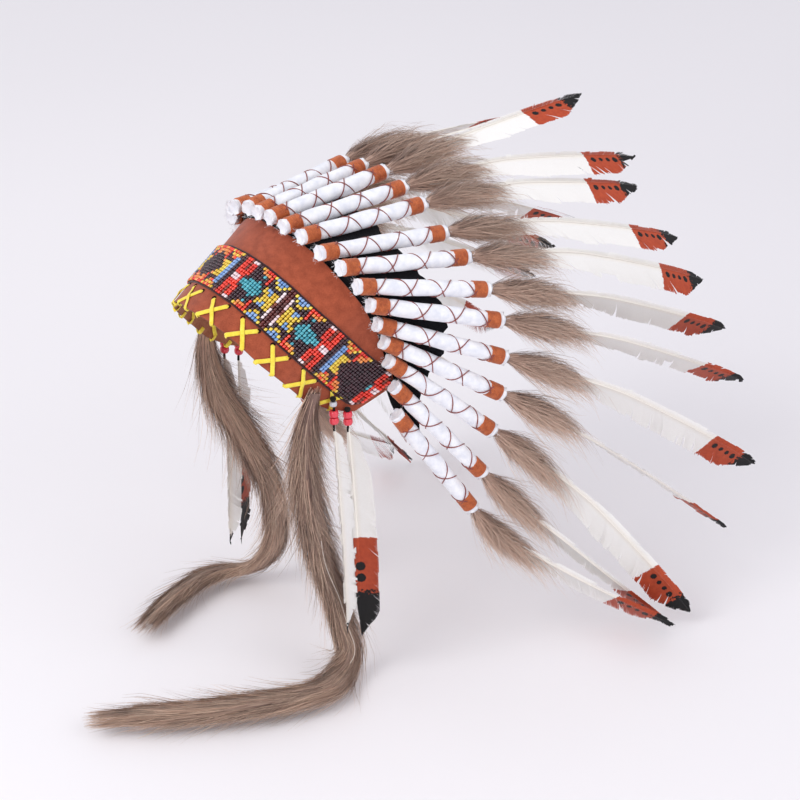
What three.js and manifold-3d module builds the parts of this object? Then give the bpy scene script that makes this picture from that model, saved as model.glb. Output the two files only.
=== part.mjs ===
import * as THREE from "three";
import { mergeVertices } from "three/addons/utils/BufferGeometryUtils.js";
import Module from "manifold-3d";

// A feathered headdress: a suede brow band with a woven bead strip, a ring of cloth-wrapped sleeves
// that each hold a plume, a black felt sheet behind the sleeves, two long fur tails and four small
// bead-and-feather drops. Millimetres, +Z up, the wearer looks along -Y. The origin is the centre of
// the opening that the head goes into.

const wasm = await Module();
wasm.setup();

const degree = Math.PI / 180;

// Brow band. The rim is its lower edge and the crest its upper one; the whole crown leans back.
const crownTilt = 41.4 * degree;
const rimHalfWidth = 76;
const rimFrontDepth = 86;
const crestHalfWidth = 87;
const crestFrontDepth = 54.5;
const browHalfLength = 178;
const browHeight = 98;
const browWall = 2.4;
const browRows = [
  { along: 0, rim: 0.06, strip: 0.29, crest: 1 },
  { along: 0.15, rim: 0.066, strip: 0.28, crest: 1 },
  { along: 0.3, rim: 0.036, strip: 0.245, crest: 0.97 },
  { along: 0.45, rim: -0.015, strip: 0.194, crest: 0.9 },
  { along: 0.6, rim: -0.04, strip: 0.153, crest: 0.815 },
  { along: 0.75, rim: -0.07, strip: 0.118, crest: 0.7 },
  { along: 0.88, rim: -0.03, strip: 0.098, crest: 0.555 },
  { along: 0.93, rim: 0.005, strip: 0.095, crest: 0.525 },
  { along: 0.97, rim: 0.035, strip: 0.093, crest: 0.485 },
  { along: 1, rim: 0.07, strip: 0.092, crest: 0.41 },
  { along: 1.2, rim: 0.07, strip: 0.092, crest: 0.25 },
];
const browSteps = 22;

// Woven bead strip on the band's outer face
const stripWidth = 40;
const stripThickness = 2.2;
const stripEndInset = 3;
const stripCornerRadius = 12;

// Sleeves
const sleeveRadius = 6.8;
const bindingDepth = 0.7;
const bindingWidth = 12;
const clothEnd = 4.5;
const bindingSpacing = 99.4;
const sleeveSides = 7;
const boreDepth = 25;
const crestFlare = 3.4;

// Felt sheet behind the sleeves. Its share of the full reach and tuck, unit by unit from either end
const feltThickness = 2;
const feltClearance = 0.9;
const feltReach = 62;
const feltTuck = 12;
const feltRise = 3;
const feltEnds = [0.2, 0.3, 0.5, 0.75, 0.9];

// Plumes
const quillRadius = 2.4;
const quillStandOff = 1;
const quillStraight = 6;
const featherKnee = 0.3;
const featherReach = 300;
const featherHalfWidth = 13.5;
const vaneThickness = 1.6;
const furLength = 88;
const furRadius = 10.5;
const featherRows = [
  { along: 0, width: 0.2, rib: 1 },
  { along: 0.14, width: 0.5, rib: 0.9 },
  { along: 0.45, width: 1, rib: 0.8 },
  { along: 0.86, width: 0.92, rib: 0.5 },
  { along: 0.96, width: 0.62, rib: 0.4 },
  { along: 1, width: 0.2, rib: 0.35 },
];
const furRows = [
  { along: 0, radius: 0.55 },
  { along: 0.25, radius: 1 },
  { along: 0.7, radius: 0.8 },
  { along: 1, radius: 0.2 },
];
const furLocks = [
  { turn: 30, start: 0.4, end: 1.08, spread: 1.15 },
  { turn: 215, start: 0.45, end: 1.14, spread: 1.05 },
];
const lockRows = [
  { along: 0, radius: 0.5 },
  { along: 1, radius: 0.12 },
];

// The fan: where each unit leaves the crest and where its sleeve and feather point. along is a share
// of the band's half length, rise of its height, reach of the feather's; angles are in degrees.
const centreUnit = {
  along: 0.01, rise: 1.107, lift: 5.9, yaw: -2, featherLift: 5, featherYaw: 0, reach: 0.73, roll: 10,
};
const leftFan = [
  { along: 0.122, rise: 1.096, lift: 3.7, yaw: 1, featherLift: -8, featherYaw: 0, reach: 0.88, roll: 20 },
  { along: 0.238, rise: 1.092, lift: 0.7, yaw: 2, featherLift: -11, featherYaw: -1, reach: 0.83, roll: 15 },
  { along: 0.363, rise: 1.048, lift: -3.9, yaw: 4.6, featherLift: -16, featherYaw: -1, reach: 0.94, roll: 5 },
  { along: 0.481, rise: 1.029, lift: -7.2, yaw: 7.3, featherLift: -20, featherYaw: -1, reach: 0.98, roll: 5 },
  { along: 0.592, rise: 0.972, lift: -11.7, yaw: 11.9, featherLift: -23, featherYaw: 0, reach: 0.97, roll: 55 },
  { along: 0.696, rise: 0.896, lift: -15.6, yaw: 16, featherLift: -26, featherYaw: 3, reach: 0.98, roll: 40 },
  { along: 0.796, rise: 0.79, lift: -22.3, yaw: 19.4, featherLift: -33, featherYaw: 11, reach: 1, roll: 5 },
  { along: 0.889, rise: 0.69, lift: -31, yaw: 20.9, featherLift: -39, featherYaw: 8, reach: 1.01, roll: 60 },
  { along: 0.978, rise: 0.565, lift: -40.3, yaw: 20.4, featherLift: -49, featherYaw: 23, reach: 0.92, roll: 10 },
  { along: 1.094, rise: 0.4, lift: -49.9, yaw: 22.2, featherLift: -46, featherYaw: 21, reach: 0.84, roll: 50 },
  { along: 1.2, rise: 0.205, lift: -56, yaw: 21, featherLift: -37, featherYaw: 28, reach: 0.75, roll: 40 },
];
// The right side mirrors the left, apart from its first three units.
const rightChanges = [
  { along: 0.094, lift: 4.8, yaw: 7.7, featherLift: 4, featherYaw: -3, reach: 0.68 },
  { along: 0.196, lift: 3.3, yaw: 13.5, featherLift: 2, featherYaw: -5, reach: 0.66 },
  { lift: -1, yaw: 9.5, featherLift: -12 },
];

// Fur tails: half width and half thickness, and the way each one hangs and lies. out, back and drop
// are shares of the height that a tail hangs.
const tailHalfWidth = 20;
const tailHalfThickness = 8;
const tailLeastThickness = 0.3;
const tailTop = 0.72;
const tailTopDrop = 9;
const tailSides = 8;
const tailSteps = 22;
const hangHeight = 269;
const leftTail = [
  { out: 0, back: 0, drop: 0, size: 0.5 },
  { out: -0.005, back: -0.025, drop: 0.1, size: 0.75 },
  { out: -0.01, back: -0.03, drop: 0.25, size: 1 },
  { out: -0.015, back: -0.02, drop: 0.36, size: 1 },
  { out: -0.02, back: 0, drop: 0.46, size: 0.95 },
  { out: -0.025, back: 0.03, drop: 0.6, size: 0.85 },
  { out: -0.025, back: 0.075, drop: 0.74, size: 0.85 },
  { out: -0.02, back: 0.1, drop: 0.86, size: 0.85 },
  { out: 0.01, back: 0.11, drop: 0.95, size: 0.85 },
  { out: 0.04, back: 0.055, drop: 1, size: 0.9 },
  { out: 0.08, back: -0.04, drop: 1, size: 0.95 },
  { out: 0.06, back: -0.16, drop: 1, size: 1 },
  { out: -0.005, back: -0.32, drop: 1, size: 0.95 },
  { out: -0.08, back: -0.47, drop: 1, size: 0.9 },
  { out: -0.14, back: -0.57, drop: 1, size: 0.8 },
  { out: -0.185, back: -0.655, drop: 1, size: 0.45 },
];
const rightTail = [
  { out: 0, back: 0, drop: 0, size: 0.5 },
  { out: -0.005, back: -0.01, drop: 0.1, size: 0.75 },
  { out: -0.025, back: 0.02, drop: 0.25, size: 1 },
  { out: -0.065, back: 0.065, drop: 0.36, size: 1 },
  { out: -0.075, back: 0.11, drop: 0.46, size: 0.95 },
  { out: -0.075, back: 0.165, drop: 0.6, size: 0.85 },
  { out: -0.065, back: 0.195, drop: 0.74, size: 0.85 },
  { out: -0.04, back: 0.2, drop: 0.86, size: 0.85 },
  { out: 0.01, back: 0.185, drop: 0.95, size: 0.8 },
  { out: 0.07, back: 0.15, drop: 1, size: 0.8 },
  { out: 0.105, back: 0.085, drop: 1, size: 0.8 },
  { out: 0.11, back: 0.01, drop: 1, size: 0.8 },
  { out: 0.09, back: -0.065, drop: 1, size: 0.75 },
  { out: 0.055, back: -0.145, drop: 1, size: 0.75 },
  { out: 0.015, back: -0.22, drop: 1, size: 0.7 },
  { out: -0.015, back: -0.27, drop: 1, size: 0.4 },
];

// Drops: two strings a side, each with beads above a hanging feather
const beadRadius = 4;
const beadLength = 6.2;
const beadGroove = 0.9;
const thongRadius = 1.1;
const knotLength = 2;
const dropReach = 198;
const dropHalfWidth = 11;
const dropQuillRadius = 1.4;
const dropLean = 3;
const beadSides = 10;
const dropStrings = [
  { name: "front", along: 0.83, thong: 10, width: 0.65, roll: 25 },
  { name: "rear", along: 0.94, thong: 4, width: 1, roll: -35 },
];

const gap = 0.3;

const suede = new THREE.MeshStandardMaterial({ color: 0x97492f, roughness: 0.95, metalness: 0 });
const beadwork = new THREE.MeshStandardMaterial({ color: 0x4a1f24, roughness: 0.35, metalness: 0 });
const felt = new THREE.MeshStandardMaterial({ color: 0x141416, roughness: 0.95, metalness: 0 });
const cloth = new THREE.MeshStandardMaterial({ color: 0xe9ecf3, roughness: 0.85, metalness: 0 });
const featherWhite = new THREE.MeshStandardMaterial({ color: 0xeeeae4, roughness: 0.7, metalness: 0 });
const fur = new THREE.MeshStandardMaterial({ color: 0x8c7363, roughness: 0.9, metalness: 0 });
const redBead = new THREE.MeshStandardMaterial({ color: 0xe8404f, roughness: 0.3, metalness: 0 });

const headdress = new THREE.Group();
const crown = new THREE.Group();
crown.rotation.x = -crownTilt;
headdress.add(crown);
crown.updateMatrix();

// Half-ellipse across the front with straight sides behind it, walked by its own length
class Plan {
  constructor(halfWidth, frontDepth) {
    this.quarter = new THREE.EllipseCurve(0, 0, halfWidth, frontDepth, -Math.PI / 2, 0);
    this.bend = this.quarter.getLength();
  }

  at(along) {
    const side = along < 0 ? -1 : 1;
    const reach = Math.abs(along);
    const share = Math.min(reach / this.bend, 1);
    const spot = this.quarter.getPointAt(share);
    const heading = this.quarter.getTangentAt(share);
    spot.y += Math.max(reach - this.bend, 0);
    return {
      spot: new THREE.Vector3(side * spot.x, spot.y, 0),
      outward: new THREE.Vector3(side * heading.y, -heading.x, 0),
    };
  }
}

const rimPlan = new Plan(rimHalfWidth, rimFrontDepth);
const crestPlan = new Plan(crestHalfWidth, crestFrontDepth);
const seatPlan = new Plan(
  crestHalfWidth + sleeveRadius + gap + crestFlare,
  crestFrontDepth + sleeveRadius + gap,
);

// A column of a table, read at any share between its rows
function readRows(rows, key, share) {
  const last = rows.length - 1;
  if (share <= rows[0].along) return rows[0][key];
  if (share >= rows[last].along) return rows[last][key];
  const next = rows.findIndex((row) => row.along > share);
  const low = rows[next - 1];
  const high = rows[next];
  const blend = (share - low.along) / (high.along - low.along);
  return THREE.MathUtils.lerp(low[key], high[key], blend);
}

function browLevel(along, key) {
  return readRows(browRows, key, Math.abs(along) / browHalfLength) * browHeight;
}

// A point on the band's outer face, or depth behind it
function browPoint(along, height, depth = 0) {
  const share = height / browLevel(along, "crest");
  const rim = rimPlan.at(along);
  const crest = crestPlan.at(along);
  const point = rim.spot.lerp(crest.spot, share);
  const outward = rim.outward.lerp(crest.outward, share).normalize();
  point.addScaledVector(outward, -depth);
  point.z = height;
  return point;
}

// Rings of points, each a ribbon out along one face and back along the other, skinned and capped
function loft(rings) {
  const count = rings[0].length;
  const half = count / 2;
  const faces = [];
  rings.slice(1).forEach((ring, index) => {
    for (let i = 0; i < count; i += 1) {
      const a = index * count + i;
      const b = index * count + ((i + 1) % count);
      faces.push(a, b, b + count, a, b + count, a + count);
    }
  });
  [0, rings.length - 1].forEach((index) => {
    for (let i = 0; i < half - 1; i += 1) {
      const corners = [i, i + 1, count - 2 - i, count - 1 - i].map((corner) => corner + index * count);
      const turned = index === 0 ? [3, 2, 1, 0] : [0, 1, 2, 3];
      const [a, b, c, d] = turned.map((corner) => corners[corner]);
      faces.push(a, b, c, a, c, d);
    }
  });
  const geometry = new THREE.BufferGeometry();
  const places = rings.flat().flatMap((point) => [point.x, point.y, point.z]);
  geometry.setAttribute("position", new THREE.Float32BufferAttribute(places, 3));
  geometry.setIndex(faces);
  return facingOut(mergeVertices(geometry, 1e-4));
}

function facingOut(geometry) {
  const place = geometry.getAttribute("position");
  const index = geometry.getIndex();
  const corners = [new THREE.Vector3(), new THREE.Vector3(), new THREE.Vector3()];
  const kept = [];
  let volume = 0;
  for (let i = 0; i < index.count; i += 3) {
    const face = [index.getX(i), index.getX(i + 1), index.getX(i + 2)];
    if (new Set(face).size === 3) {
      corners.forEach((corner, k) => corner.fromBufferAttribute(place, face[k]));
      volume += corners[0].dot(corners[1].clone().cross(corners[2]));
      kept.push(face);
    }
  }
  const turned = volume < 0 ? kept.map(([a, b, c]) => [a, c, b]) : kept;
  geometry.setIndex(turned.flat());
  return geometry;
}

function toSolid(geometry) {
  const bare = geometry.clone();
  bare.deleteAttribute("normal");
  bare.deleteAttribute("uv");
  const merged = facingOut(mergeVertices(bare, 1e-4));
  return new wasm.Manifold(new wasm.Mesh({
    numProp: 3,
    vertProperties: new Float32Array(merged.getAttribute("position").array),
    triVerts: new Uint32Array(merged.getIndex().array),
  }));
}

function fuse(geometries) {
  const solid = geometries.map(toSolid).reduce((whole, next) => whole.add(next));
  const { vertProperties, triVerts } = solid.getMesh();
  const geometry = new THREE.BufferGeometry();
  geometry.setAttribute("position", new THREE.BufferAttribute(vertProperties, 3));
  geometry.setIndex(new THREE.BufferAttribute(triVerts, 1));
  return geometry;
}

function addMesh(parent, name, geometry, material) {
  geometry.computeVertexNormals();
  const mesh = new THREE.Mesh(geometry, material);
  mesh.name = name;
  parent.add(mesh);
  return mesh;
}

function stepsAcross(from, to, steps) {
  return Array.from({ length: steps + 1 }, (_, i) => THREE.MathUtils.lerp(from, to, i / steps));
}

// The band and its strip share their stations, so the strip's back follows the band's face. The
// strip's ends are rounded: it narrows over its last corner radius.
function stripStations() {
  const inner = browHalfLength - stripEndInset - stripCornerRadius;
  const corner = [0.5, 0.8, 1].map((share) => inner + stripCornerRadius * share);
  const middle = stepsAcross(-inner, inner, browSteps);
  return [...corner.map((along) => -along).reverse(), ...middle, ...corner];
}

function stripLevels(along) {
  const inner = browHalfLength - stripEndInset - stripCornerRadius;
  const past = Math.max(Math.abs(along) - inner, 0) / stripCornerRadius;
  const rounded = stripCornerRadius * (1 - Math.sqrt(Math.max(1 - past * past, 0)));
  const low = browLevel(along, "strip");
  return [low + rounded, low + stripWidth - rounded];
}

function makeBrow() {
  const stations = [-browHalfLength, ...stripStations(), browHalfLength];
  const rings = stations.map((along) => {
    const strip = stripLevels(Math.min(Math.abs(along), browHalfLength - stripEndInset));
    const heights = [browLevel(along, "rim"), ...strip, browLevel(along, "crest")];
    return [
      ...heights.map((height) => browPoint(along, height)),
      ...heights.reverse().map((height) => browPoint(along, height, browWall)),
    ];
  });
  addMesh(crown, "brow_panel", loft(rings), suede);
}

function makeStrip() {
  const rings = stripStations().map((along) => {
    const [low, high] = stripLevels(along);
    return [
      browPoint(along, low, -gap),
      browPoint(along, high, -gap),
      browPoint(along, high, -gap - stripThickness),
      browPoint(along, low, -gap - stripThickness),
    ];
  });
  addMesh(crown, "beaded_strip", loft(rings), beadwork);
}

// Direction of a unit in the crown's leaning frame, from angles in the upright one
function aim(lift, yaw) {
  const flat = Math.cos(lift * degree);
  const upright = new THREE.Vector3(
    Math.sin(yaw * degree) * flat,
    Math.cos(yaw * degree) * flat,
    Math.sin(lift * degree),
  );
  return upright.applyAxisAngle(new THREE.Vector3(1, 0, 0), crownTilt);
}

// A unit of the fan: its seat on the crest, its sleeve's and feather's directions and the fan's normal
function seatUnit(name, row, side) {
  const along = side * row.along * browHalfLength;
  const seat = seatPlan.at(along).spot;
  seat.z = row.rise * browHeight;
  return {
    name,
    along,
    seat,
    heading: aim(row.lift, side * row.yaw),
    featherHeading: aim(row.featherLift, side * row.featherYaw),
    reach: row.reach * featherReach,
    roll: side * row.roll * degree,
  };
}

function seatFan() {
  const rightFan = leftFan.map((row, index) => ({ ...row, ...rightChanges[index] }));
  const left = leftFan.map((row, index) => seatUnit(`left_${index + 1}`, row, 1));
  const right = rightFan.map((row, index) => seatUnit(`right_${index + 1}`, row, -1));
  const fan = [...right.reverse(), seatUnit("centre", centreUnit, 1), ...left];
  fan.forEach((unit, index) => {
    const before = fan[Math.max(index - 1, 0)];
    const after = fan[Math.min(index + 1, fan.length - 1)];
    const across = after.seat.clone().sub(before.seat);
    unit.inward = unit.heading.clone().cross(across).normalize();
  });
  return fan;
}

function sleeveProfile() {
  const bound = sleeveRadius - bindingDepth;
  const near = bindingWidth / 2;
  const start = -near - clothEnd;
  const far = bindingSpacing;
  const end = far + near + clothEnd;
  const bore = quillRadius + gap;
  return [
    [0, start],
    [sleeveRadius, start],
    [bound, -near],
    [bound, near],
    [sleeveRadius, near + bindingDepth * 3],
    [sleeveRadius, far - near - bindingDepth * 3],
    [bound, far - near],
    [bound, far + near],
    [sleeveRadius, end],
    [bore, end],
    [bore, end - boreDepth],
    [0, end - boreDepth],
  ].map(([radius, height]) => new THREE.Vector2(radius, height));
}

const sleeveEnd = bindingSpacing + bindingWidth / 2 + clothEnd;

// The centre line of a feather in its unit's frame, where the sleeve runs along +Y: straight inside
// the sleeve, then bending towards the feather's own heading
function featherLine(unit, turn) {
  const back = turn.clone().invert();
  const tip = unit.featherHeading.clone().applyQuaternion(back).multiplyScalar(unit.reach);
  const start = new THREE.Vector3(0, sleeveEnd - boreDepth + quillStandOff, 0);
  const mouth = new THREE.Vector3(0, sleeveEnd + quillStraight, 0);
  const knee = new THREE.Vector3(0, sleeveEnd + unit.reach * featherKnee, 0);
  const line = new THREE.CurvePath();
  line.add(new THREE.LineCurve3(start, mouth));
  line.add(new THREE.QuadraticBezierCurve3(mouth, knee, tip.add(new THREE.Vector3(0, sleeveEnd, 0))));
  return line;
}

// A six-cornered lens section, wide across and thick at its rib
function lens(spot, across, face, wide, thick) {
  const edge = Math.min(vaneThickness / 2, thick, wide * 0.6);
  return [[-wide, edge], [0, thick], [wide, edge], [wide, -edge], [0, -thick], [-wide, -edge]]
    .map(([x, z]) => spot.clone().addScaledVector(across, x).addScaledVector(face, z));
}

// A feather: a quill inside the sleeve, then a vane whose face is rolled about the line
function featherBody(line, mouthShare, roll) {
  const ringAt = (share, wide, thick, turn) => {
    const heading = line.getTangentAt(share);
    const face = new THREE.Vector3(0, 0, 1).applyAxisAngle(heading, turn);
    const across = heading.clone().cross(face).normalize();
    face.crossVectors(across, heading).normalize();
    return lens(line.getPointAt(share), across, face, wide, thick);
  };
  const quill = [0, mouthShare].map((share) => ringAt(share, quillRadius * 0.8, quillRadius * 0.9, 0));
  const vane = featherRows.map((row) => {
    const share = THREE.MathUtils.lerp(mouthShare * 1.2, 1, row.along);
    return ringAt(share, featherHalfWidth * row.width, quillRadius * row.rib, roll);
  });
  return loft([...quill, ...vane]);
}

// A round tapering body along a curve
function taper(curve, rows, radius, sides) {
  const rings = rows.map((row) => {
    const spot = curve.getPointAt(row.along);
    const heading = curve.getTangentAt(row.along);
    const across = new THREE.Vector3(0, 0, 1).cross(heading).normalize();
    const up = heading.clone().cross(across).normalize();
    return Array.from({ length: sides }, (_, i) => {
      const angle = ((i + 0.5) / sides) * 2 * Math.PI;
      return spot.clone()
        .addScaledVector(across, Math.cos(angle) * radius * row.radius)
        .addScaledVector(up, Math.sin(angle) * radius * row.radius);
    });
  });
  return loft(rings);
}

// The fur puff round a feather's root, with loose locks that leave its far half
function furBodies(line, mouthShare, endShare) {
  const spine = stepsAcross(mouthShare, endShare, 4).map((share) => line.getPointAt(share));
  const puff = new THREE.CatmullRomCurve3(spine);
  const locks = furLocks.map((lock) => {
    const root = puff.getPointAt(lock.start);
    const heading = puff.getTangentAt(lock.start);
    const side = new THREE.Vector3(0, 0, 1).cross(heading).normalize();
    side.applyAxisAngle(heading, lock.turn * degree);
    const tip = root.clone().addScaledVector(heading, (lock.end - lock.start) * furLength);
    tip.addScaledVector(side, furRadius * lock.spread);
    return taper(new THREE.LineCurve3(root, tip), lockRows, furRadius, 4);
  });
  return [taper(puff, furRows, furRadius, 6), ...locks];
}

function makeUnit(unit) {
  const group = new THREE.Group();
  const out = unit.inward.clone().negate();
  const across = unit.heading.clone().cross(out).normalize();
  const face = across.clone().cross(unit.heading).normalize();
  group.position.copy(unit.seat);
  group.quaternion.setFromRotationMatrix(new THREE.Matrix4().makeBasis(across, unit.heading, face));
  crown.add(group);

  const sleeve = new THREE.LatheGeometry(sleeveProfile(), sleeveSides);
  addMesh(group, `sleeve_${unit.name}`, sleeve, cloth);

  const line = featherLine(unit, group.quaternion);
  const whole = line.getLength();
  const mouthShare = (boreDepth - quillStandOff + gap) / whole;
  const feather = featherBody(line, mouthShare, unit.roll);
  const furs = furBodies(line, mouthShare, mouthShare + furLength / whole);
  addMesh(group, `plume_${unit.name}`, fuse([feather, ...furs]), featherWhite);
}

// The sheet is tucked inside the band, turns over the crest and follows the sleeves' inner side
function makeFelt(fan) {
  const near = sleeveRadius + gap;
  const depth = browWall + feltClearance;
  const last = fan.length - 1;
  const rings = fan.map((unit, index) => {
    const crest = browLevel(unit.along, "crest");
    const share = feltEnds[Math.min(index, last - index)] ?? 1;
    const tuck = feltTuck * share;
    const reach = unit.seat.clone().addScaledVector(unit.heading, feltReach * share);
    return [
      browPoint(unit.along, crest - tuck, depth),
      browPoint(unit.along, crest + feltRise, depth),
      unit.seat.clone().addScaledVector(unit.inward, near),
      reach.clone().addScaledVector(unit.inward, near),
      reach.clone().addScaledVector(unit.inward, near + feltThickness),
      unit.seat.clone().addScaledVector(unit.inward, near + feltThickness),
      browPoint(unit.along, crest + feltRise, depth + feltThickness),
      browPoint(unit.along, crest - tuck, depth + feltThickness),
    ];
  });
  addMesh(crown, "felt_flange", loft(rings), felt);
}

// A tail hangs flat against the band, then turns to lie flat on the table
function makeTail(name, rows, side) {
  const along = tailTop * browHalfLength;
  const topDepth = gap + tailHalfThickness * rows[0].size;
  const top = browPoint(side * along, browLevel(along, "strip") - tailTopDrop, -topDepth);
  top.applyMatrix4(crown.matrix);
  const points = rows.map((row) => new THREE.Vector3(
    top.x + side * row.out * hangHeight,
    top.y + row.back * hangHeight,
    top.z - row.drop * hangHeight,
  ));
  const curve = new THREE.CatmullRomCurve3(points, false, "centripetal");
  const rings = stepsAcross(0, 1, tailSteps).map((share) => {
    const spot = curve.getPoint(share);
    const heading = curve.getTangent(share);
    const place = share * (rows.length - 1);
    const low = Math.min(Math.floor(place), rows.length - 2);
    const size = THREE.MathUtils.lerp(rows[low].size, rows[low + 1].size, place - low);
    const lying = THREE.MathUtils.smoothstep(1 - Math.abs(heading.z), 0.3, 0.9);
    const face = new THREE.Vector3(side, 0, 0).lerp(new THREE.Vector3(0, 0, 1), lying);
    face.addScaledVector(heading, -face.dot(heading)).normalize();
    const across = heading.clone().cross(face).normalize();
    return Array.from({ length: tailSides }, (_, i) => {
      const angle = ((i + 0.5) / tailSides) * 2 * Math.PI;
      return spot.clone()
        .addScaledVector(across, Math.cos(angle) * tailHalfWidth * size)
        .addScaledVector(face, Math.sin(angle) * tailHalfThickness * Math.max(size, tailLeastThickness));
    });
  });
  addMesh(headdress, name, loft(rings), fur);
}

// A knot, a thong below it and two round beads, listed from the foot upwards
function beadString(thong) {
  const waist = beadRadius - beadGroove;
  const beads = [1, 0].flatMap((index) => {
    const foot = -thong - (index + 1) * beadLength;
    return [
      [waist, foot],
      [beadRadius, foot + beadLength * 0.3],
      [beadRadius, foot + beadLength * 0.7],
    ];
  });
  const profile = [
    [0, -thong - 2 * beadLength],
    ...beads,
    [waist, -thong],
    [thongRadius, -thong],
    [thongRadius, -knotLength],
    [beadRadius, -knotLength],
    [beadRadius, 0],
    [0, 0],
  ];
  const points = profile.map(([radius, height]) => new THREE.Vector2(radius, height));
  return new THREE.LatheGeometry(points, beadSides).rotateX(Math.PI / 2);
}

function makeDrops(sideName, side) {
  dropStrings.forEach((row) => {
    const along = side * row.along * browHalfLength;
    const knot = browPoint(along, browLevel(along, "strip") - beadRadius, -gap - beadRadius);
    const hanger = new THREE.Group();
    hanger.position.copy(knot.applyMatrix4(crown.matrix));
    hanger.rotation.y = -side * dropLean * degree;
    headdress.add(hanger);
    addMesh(hanger, `drop_beads_${sideName}_${row.name}`, beadString(row.thong), redBead);

    const top = -row.thong - 2 * beadLength - gap;
    const turned = side * row.roll * degree + Math.PI / 2;
    const across = new THREE.Vector3(Math.cos(turned), Math.sin(turned), 0);
    const face = new THREE.Vector3(-Math.sin(turned), Math.cos(turned), 0);
    const rings = featherRows.map((feather) => {
      const spot = new THREE.Vector3(0, 0, top - dropReach * feather.along);
      const wide = dropHalfWidth * row.width * feather.width;
      return lens(spot, across, face, wide, dropQuillRadius * feather.rib);
    });
    addMesh(hanger, `drop_feather_${sideName}_${row.name}`, loft(rings), featherWhite);
  });
}

makeBrow();
makeStrip();
const fan = seatFan();
fan.forEach(makeUnit);
makeFelt(fan);
makeTail("fur_tail_left", leftTail, 1);
makeTail("fur_tail_right", rightTail, -1);
makeDrops("left", 1);
makeDrops("right", -1);

export default headdress;
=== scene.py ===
"""The looks of a feathered headdress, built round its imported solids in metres.

Each sub-assembly is a class whose fields are its sizes. Its methods build meshes from numpy arrays
and dress them, and main() puts them together in order.
"""

import logging
import math
from dataclasses import dataclass, field
from enum import Enum

import bpy
import numpy as np
from mathutils import Matrix


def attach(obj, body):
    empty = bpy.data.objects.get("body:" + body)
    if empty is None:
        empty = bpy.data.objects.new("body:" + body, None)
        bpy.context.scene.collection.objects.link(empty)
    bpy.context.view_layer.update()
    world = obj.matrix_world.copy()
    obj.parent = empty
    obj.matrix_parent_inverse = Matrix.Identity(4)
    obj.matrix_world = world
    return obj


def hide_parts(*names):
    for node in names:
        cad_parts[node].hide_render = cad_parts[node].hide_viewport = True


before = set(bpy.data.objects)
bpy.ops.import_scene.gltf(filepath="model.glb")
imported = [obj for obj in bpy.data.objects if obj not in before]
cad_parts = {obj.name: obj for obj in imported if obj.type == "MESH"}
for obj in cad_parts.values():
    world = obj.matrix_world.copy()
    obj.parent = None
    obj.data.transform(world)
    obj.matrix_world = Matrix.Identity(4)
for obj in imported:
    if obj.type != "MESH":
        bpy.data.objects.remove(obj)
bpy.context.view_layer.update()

log = logging.getLogger("headdress")

MM = 0.001
TILT = math.radians(41.4)
FLOOR = -0.2823
ROOT = "root"


class Slot(Enum):
    """The record's material slots."""

    SUEDE = "suede"
    BEADWORK = "beadwork"
    FELT = "felt"
    CLOTH = "cloth"
    FEATHER = "feather"
    FUR = "fur"
    RED_BEAD = "red_bead"


class Place(Enum):
    """A drop hangs in front or behind."""

    FRONT = "front"
    REAR = "rear"


class Side(Enum):
    """The wearer's left is +X."""

    LEFT = 1
    RIGHT = -1


# Numbers and vectors


def unit(vectors: np.ndarray) -> np.ndarray:
    """Vectors scaled to length one."""
    return vectors / np.maximum(np.linalg.norm(vectors, axis=-1, keepdims=True), 1e-12)


def upright(points: np.ndarray) -> np.ndarray:
    """Points of the leaning crown, in mm, as they stand in the upright frame."""
    x, y, z = np.moveaxis(np.asarray(points, float), -1, 0)
    turned_y = y * math.cos(TILT) + z * math.sin(TILT)
    turned_z = -y * math.sin(TILT) + z * math.cos(TILT)
    return np.stack([x, turned_y, turned_z], -1)


def smooth(value: np.ndarray, low: float, high: float) -> np.ndarray:
    """A smooth step from 0 at low to 1 at high."""
    share = np.clip((value - low) / (high - low), 0, 1)
    return share * share * (3 - 2 * share)


def turn_about(vectors: np.ndarray, axis: np.ndarray, angle: np.ndarray) -> np.ndarray:
    """Vectors turned about unit axes.

    Args:
        vectors: directions, shape (..., 3).
        axis: unit axes of the same shape.
        angle: angles in radians, one for each vector or one for all.

    Returns:
        The turned vectors.
    """
    cos = np.cos(angle)[..., None] if np.ndim(angle) else math.cos(angle)
    sin = np.sin(angle)[..., None] if np.ndim(angle) else math.sin(angle)
    dot = (vectors * axis).sum(-1, keepdims=True)
    return vectors * cos + np.cross(axis, vectors) * sin + axis * dot * (1 - cos)


def catmull(points: np.ndarray, count: int) -> np.ndarray:
    """A smooth line through points.

    Args:
        points: the points that it passes through.
        count: how many points to return.

    Returns:
        Points along the line, evenly spaced by its length.
    """
    ends = np.vstack([2 * points[0] - points[1], points, 2 * points[-1] - points[-2]])
    fine = []
    for i in range(len(points) - 1):
        a, b, c, d = ends[i : i + 4]
        t = np.linspace(0, 1, 24, endpoint=False)[:, None]
        fine.append(
            0.5 * (2 * b + (c - a) * t + (2 * a - 5 * b + 4 * c - d) * t**2 + (3 * b - a - 3 * c + d) * t**3)
        )
    fine = np.vstack([*fine, points[-1:]])
    run = np.concatenate([[0], np.cumsum(np.linalg.norm(np.diff(fine, axis=0), axis=1))])
    stops = np.linspace(0, run[-1], count)
    return np.stack([np.interp(stops, run, fine[:, k]) for k in range(3)], -1)


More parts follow.
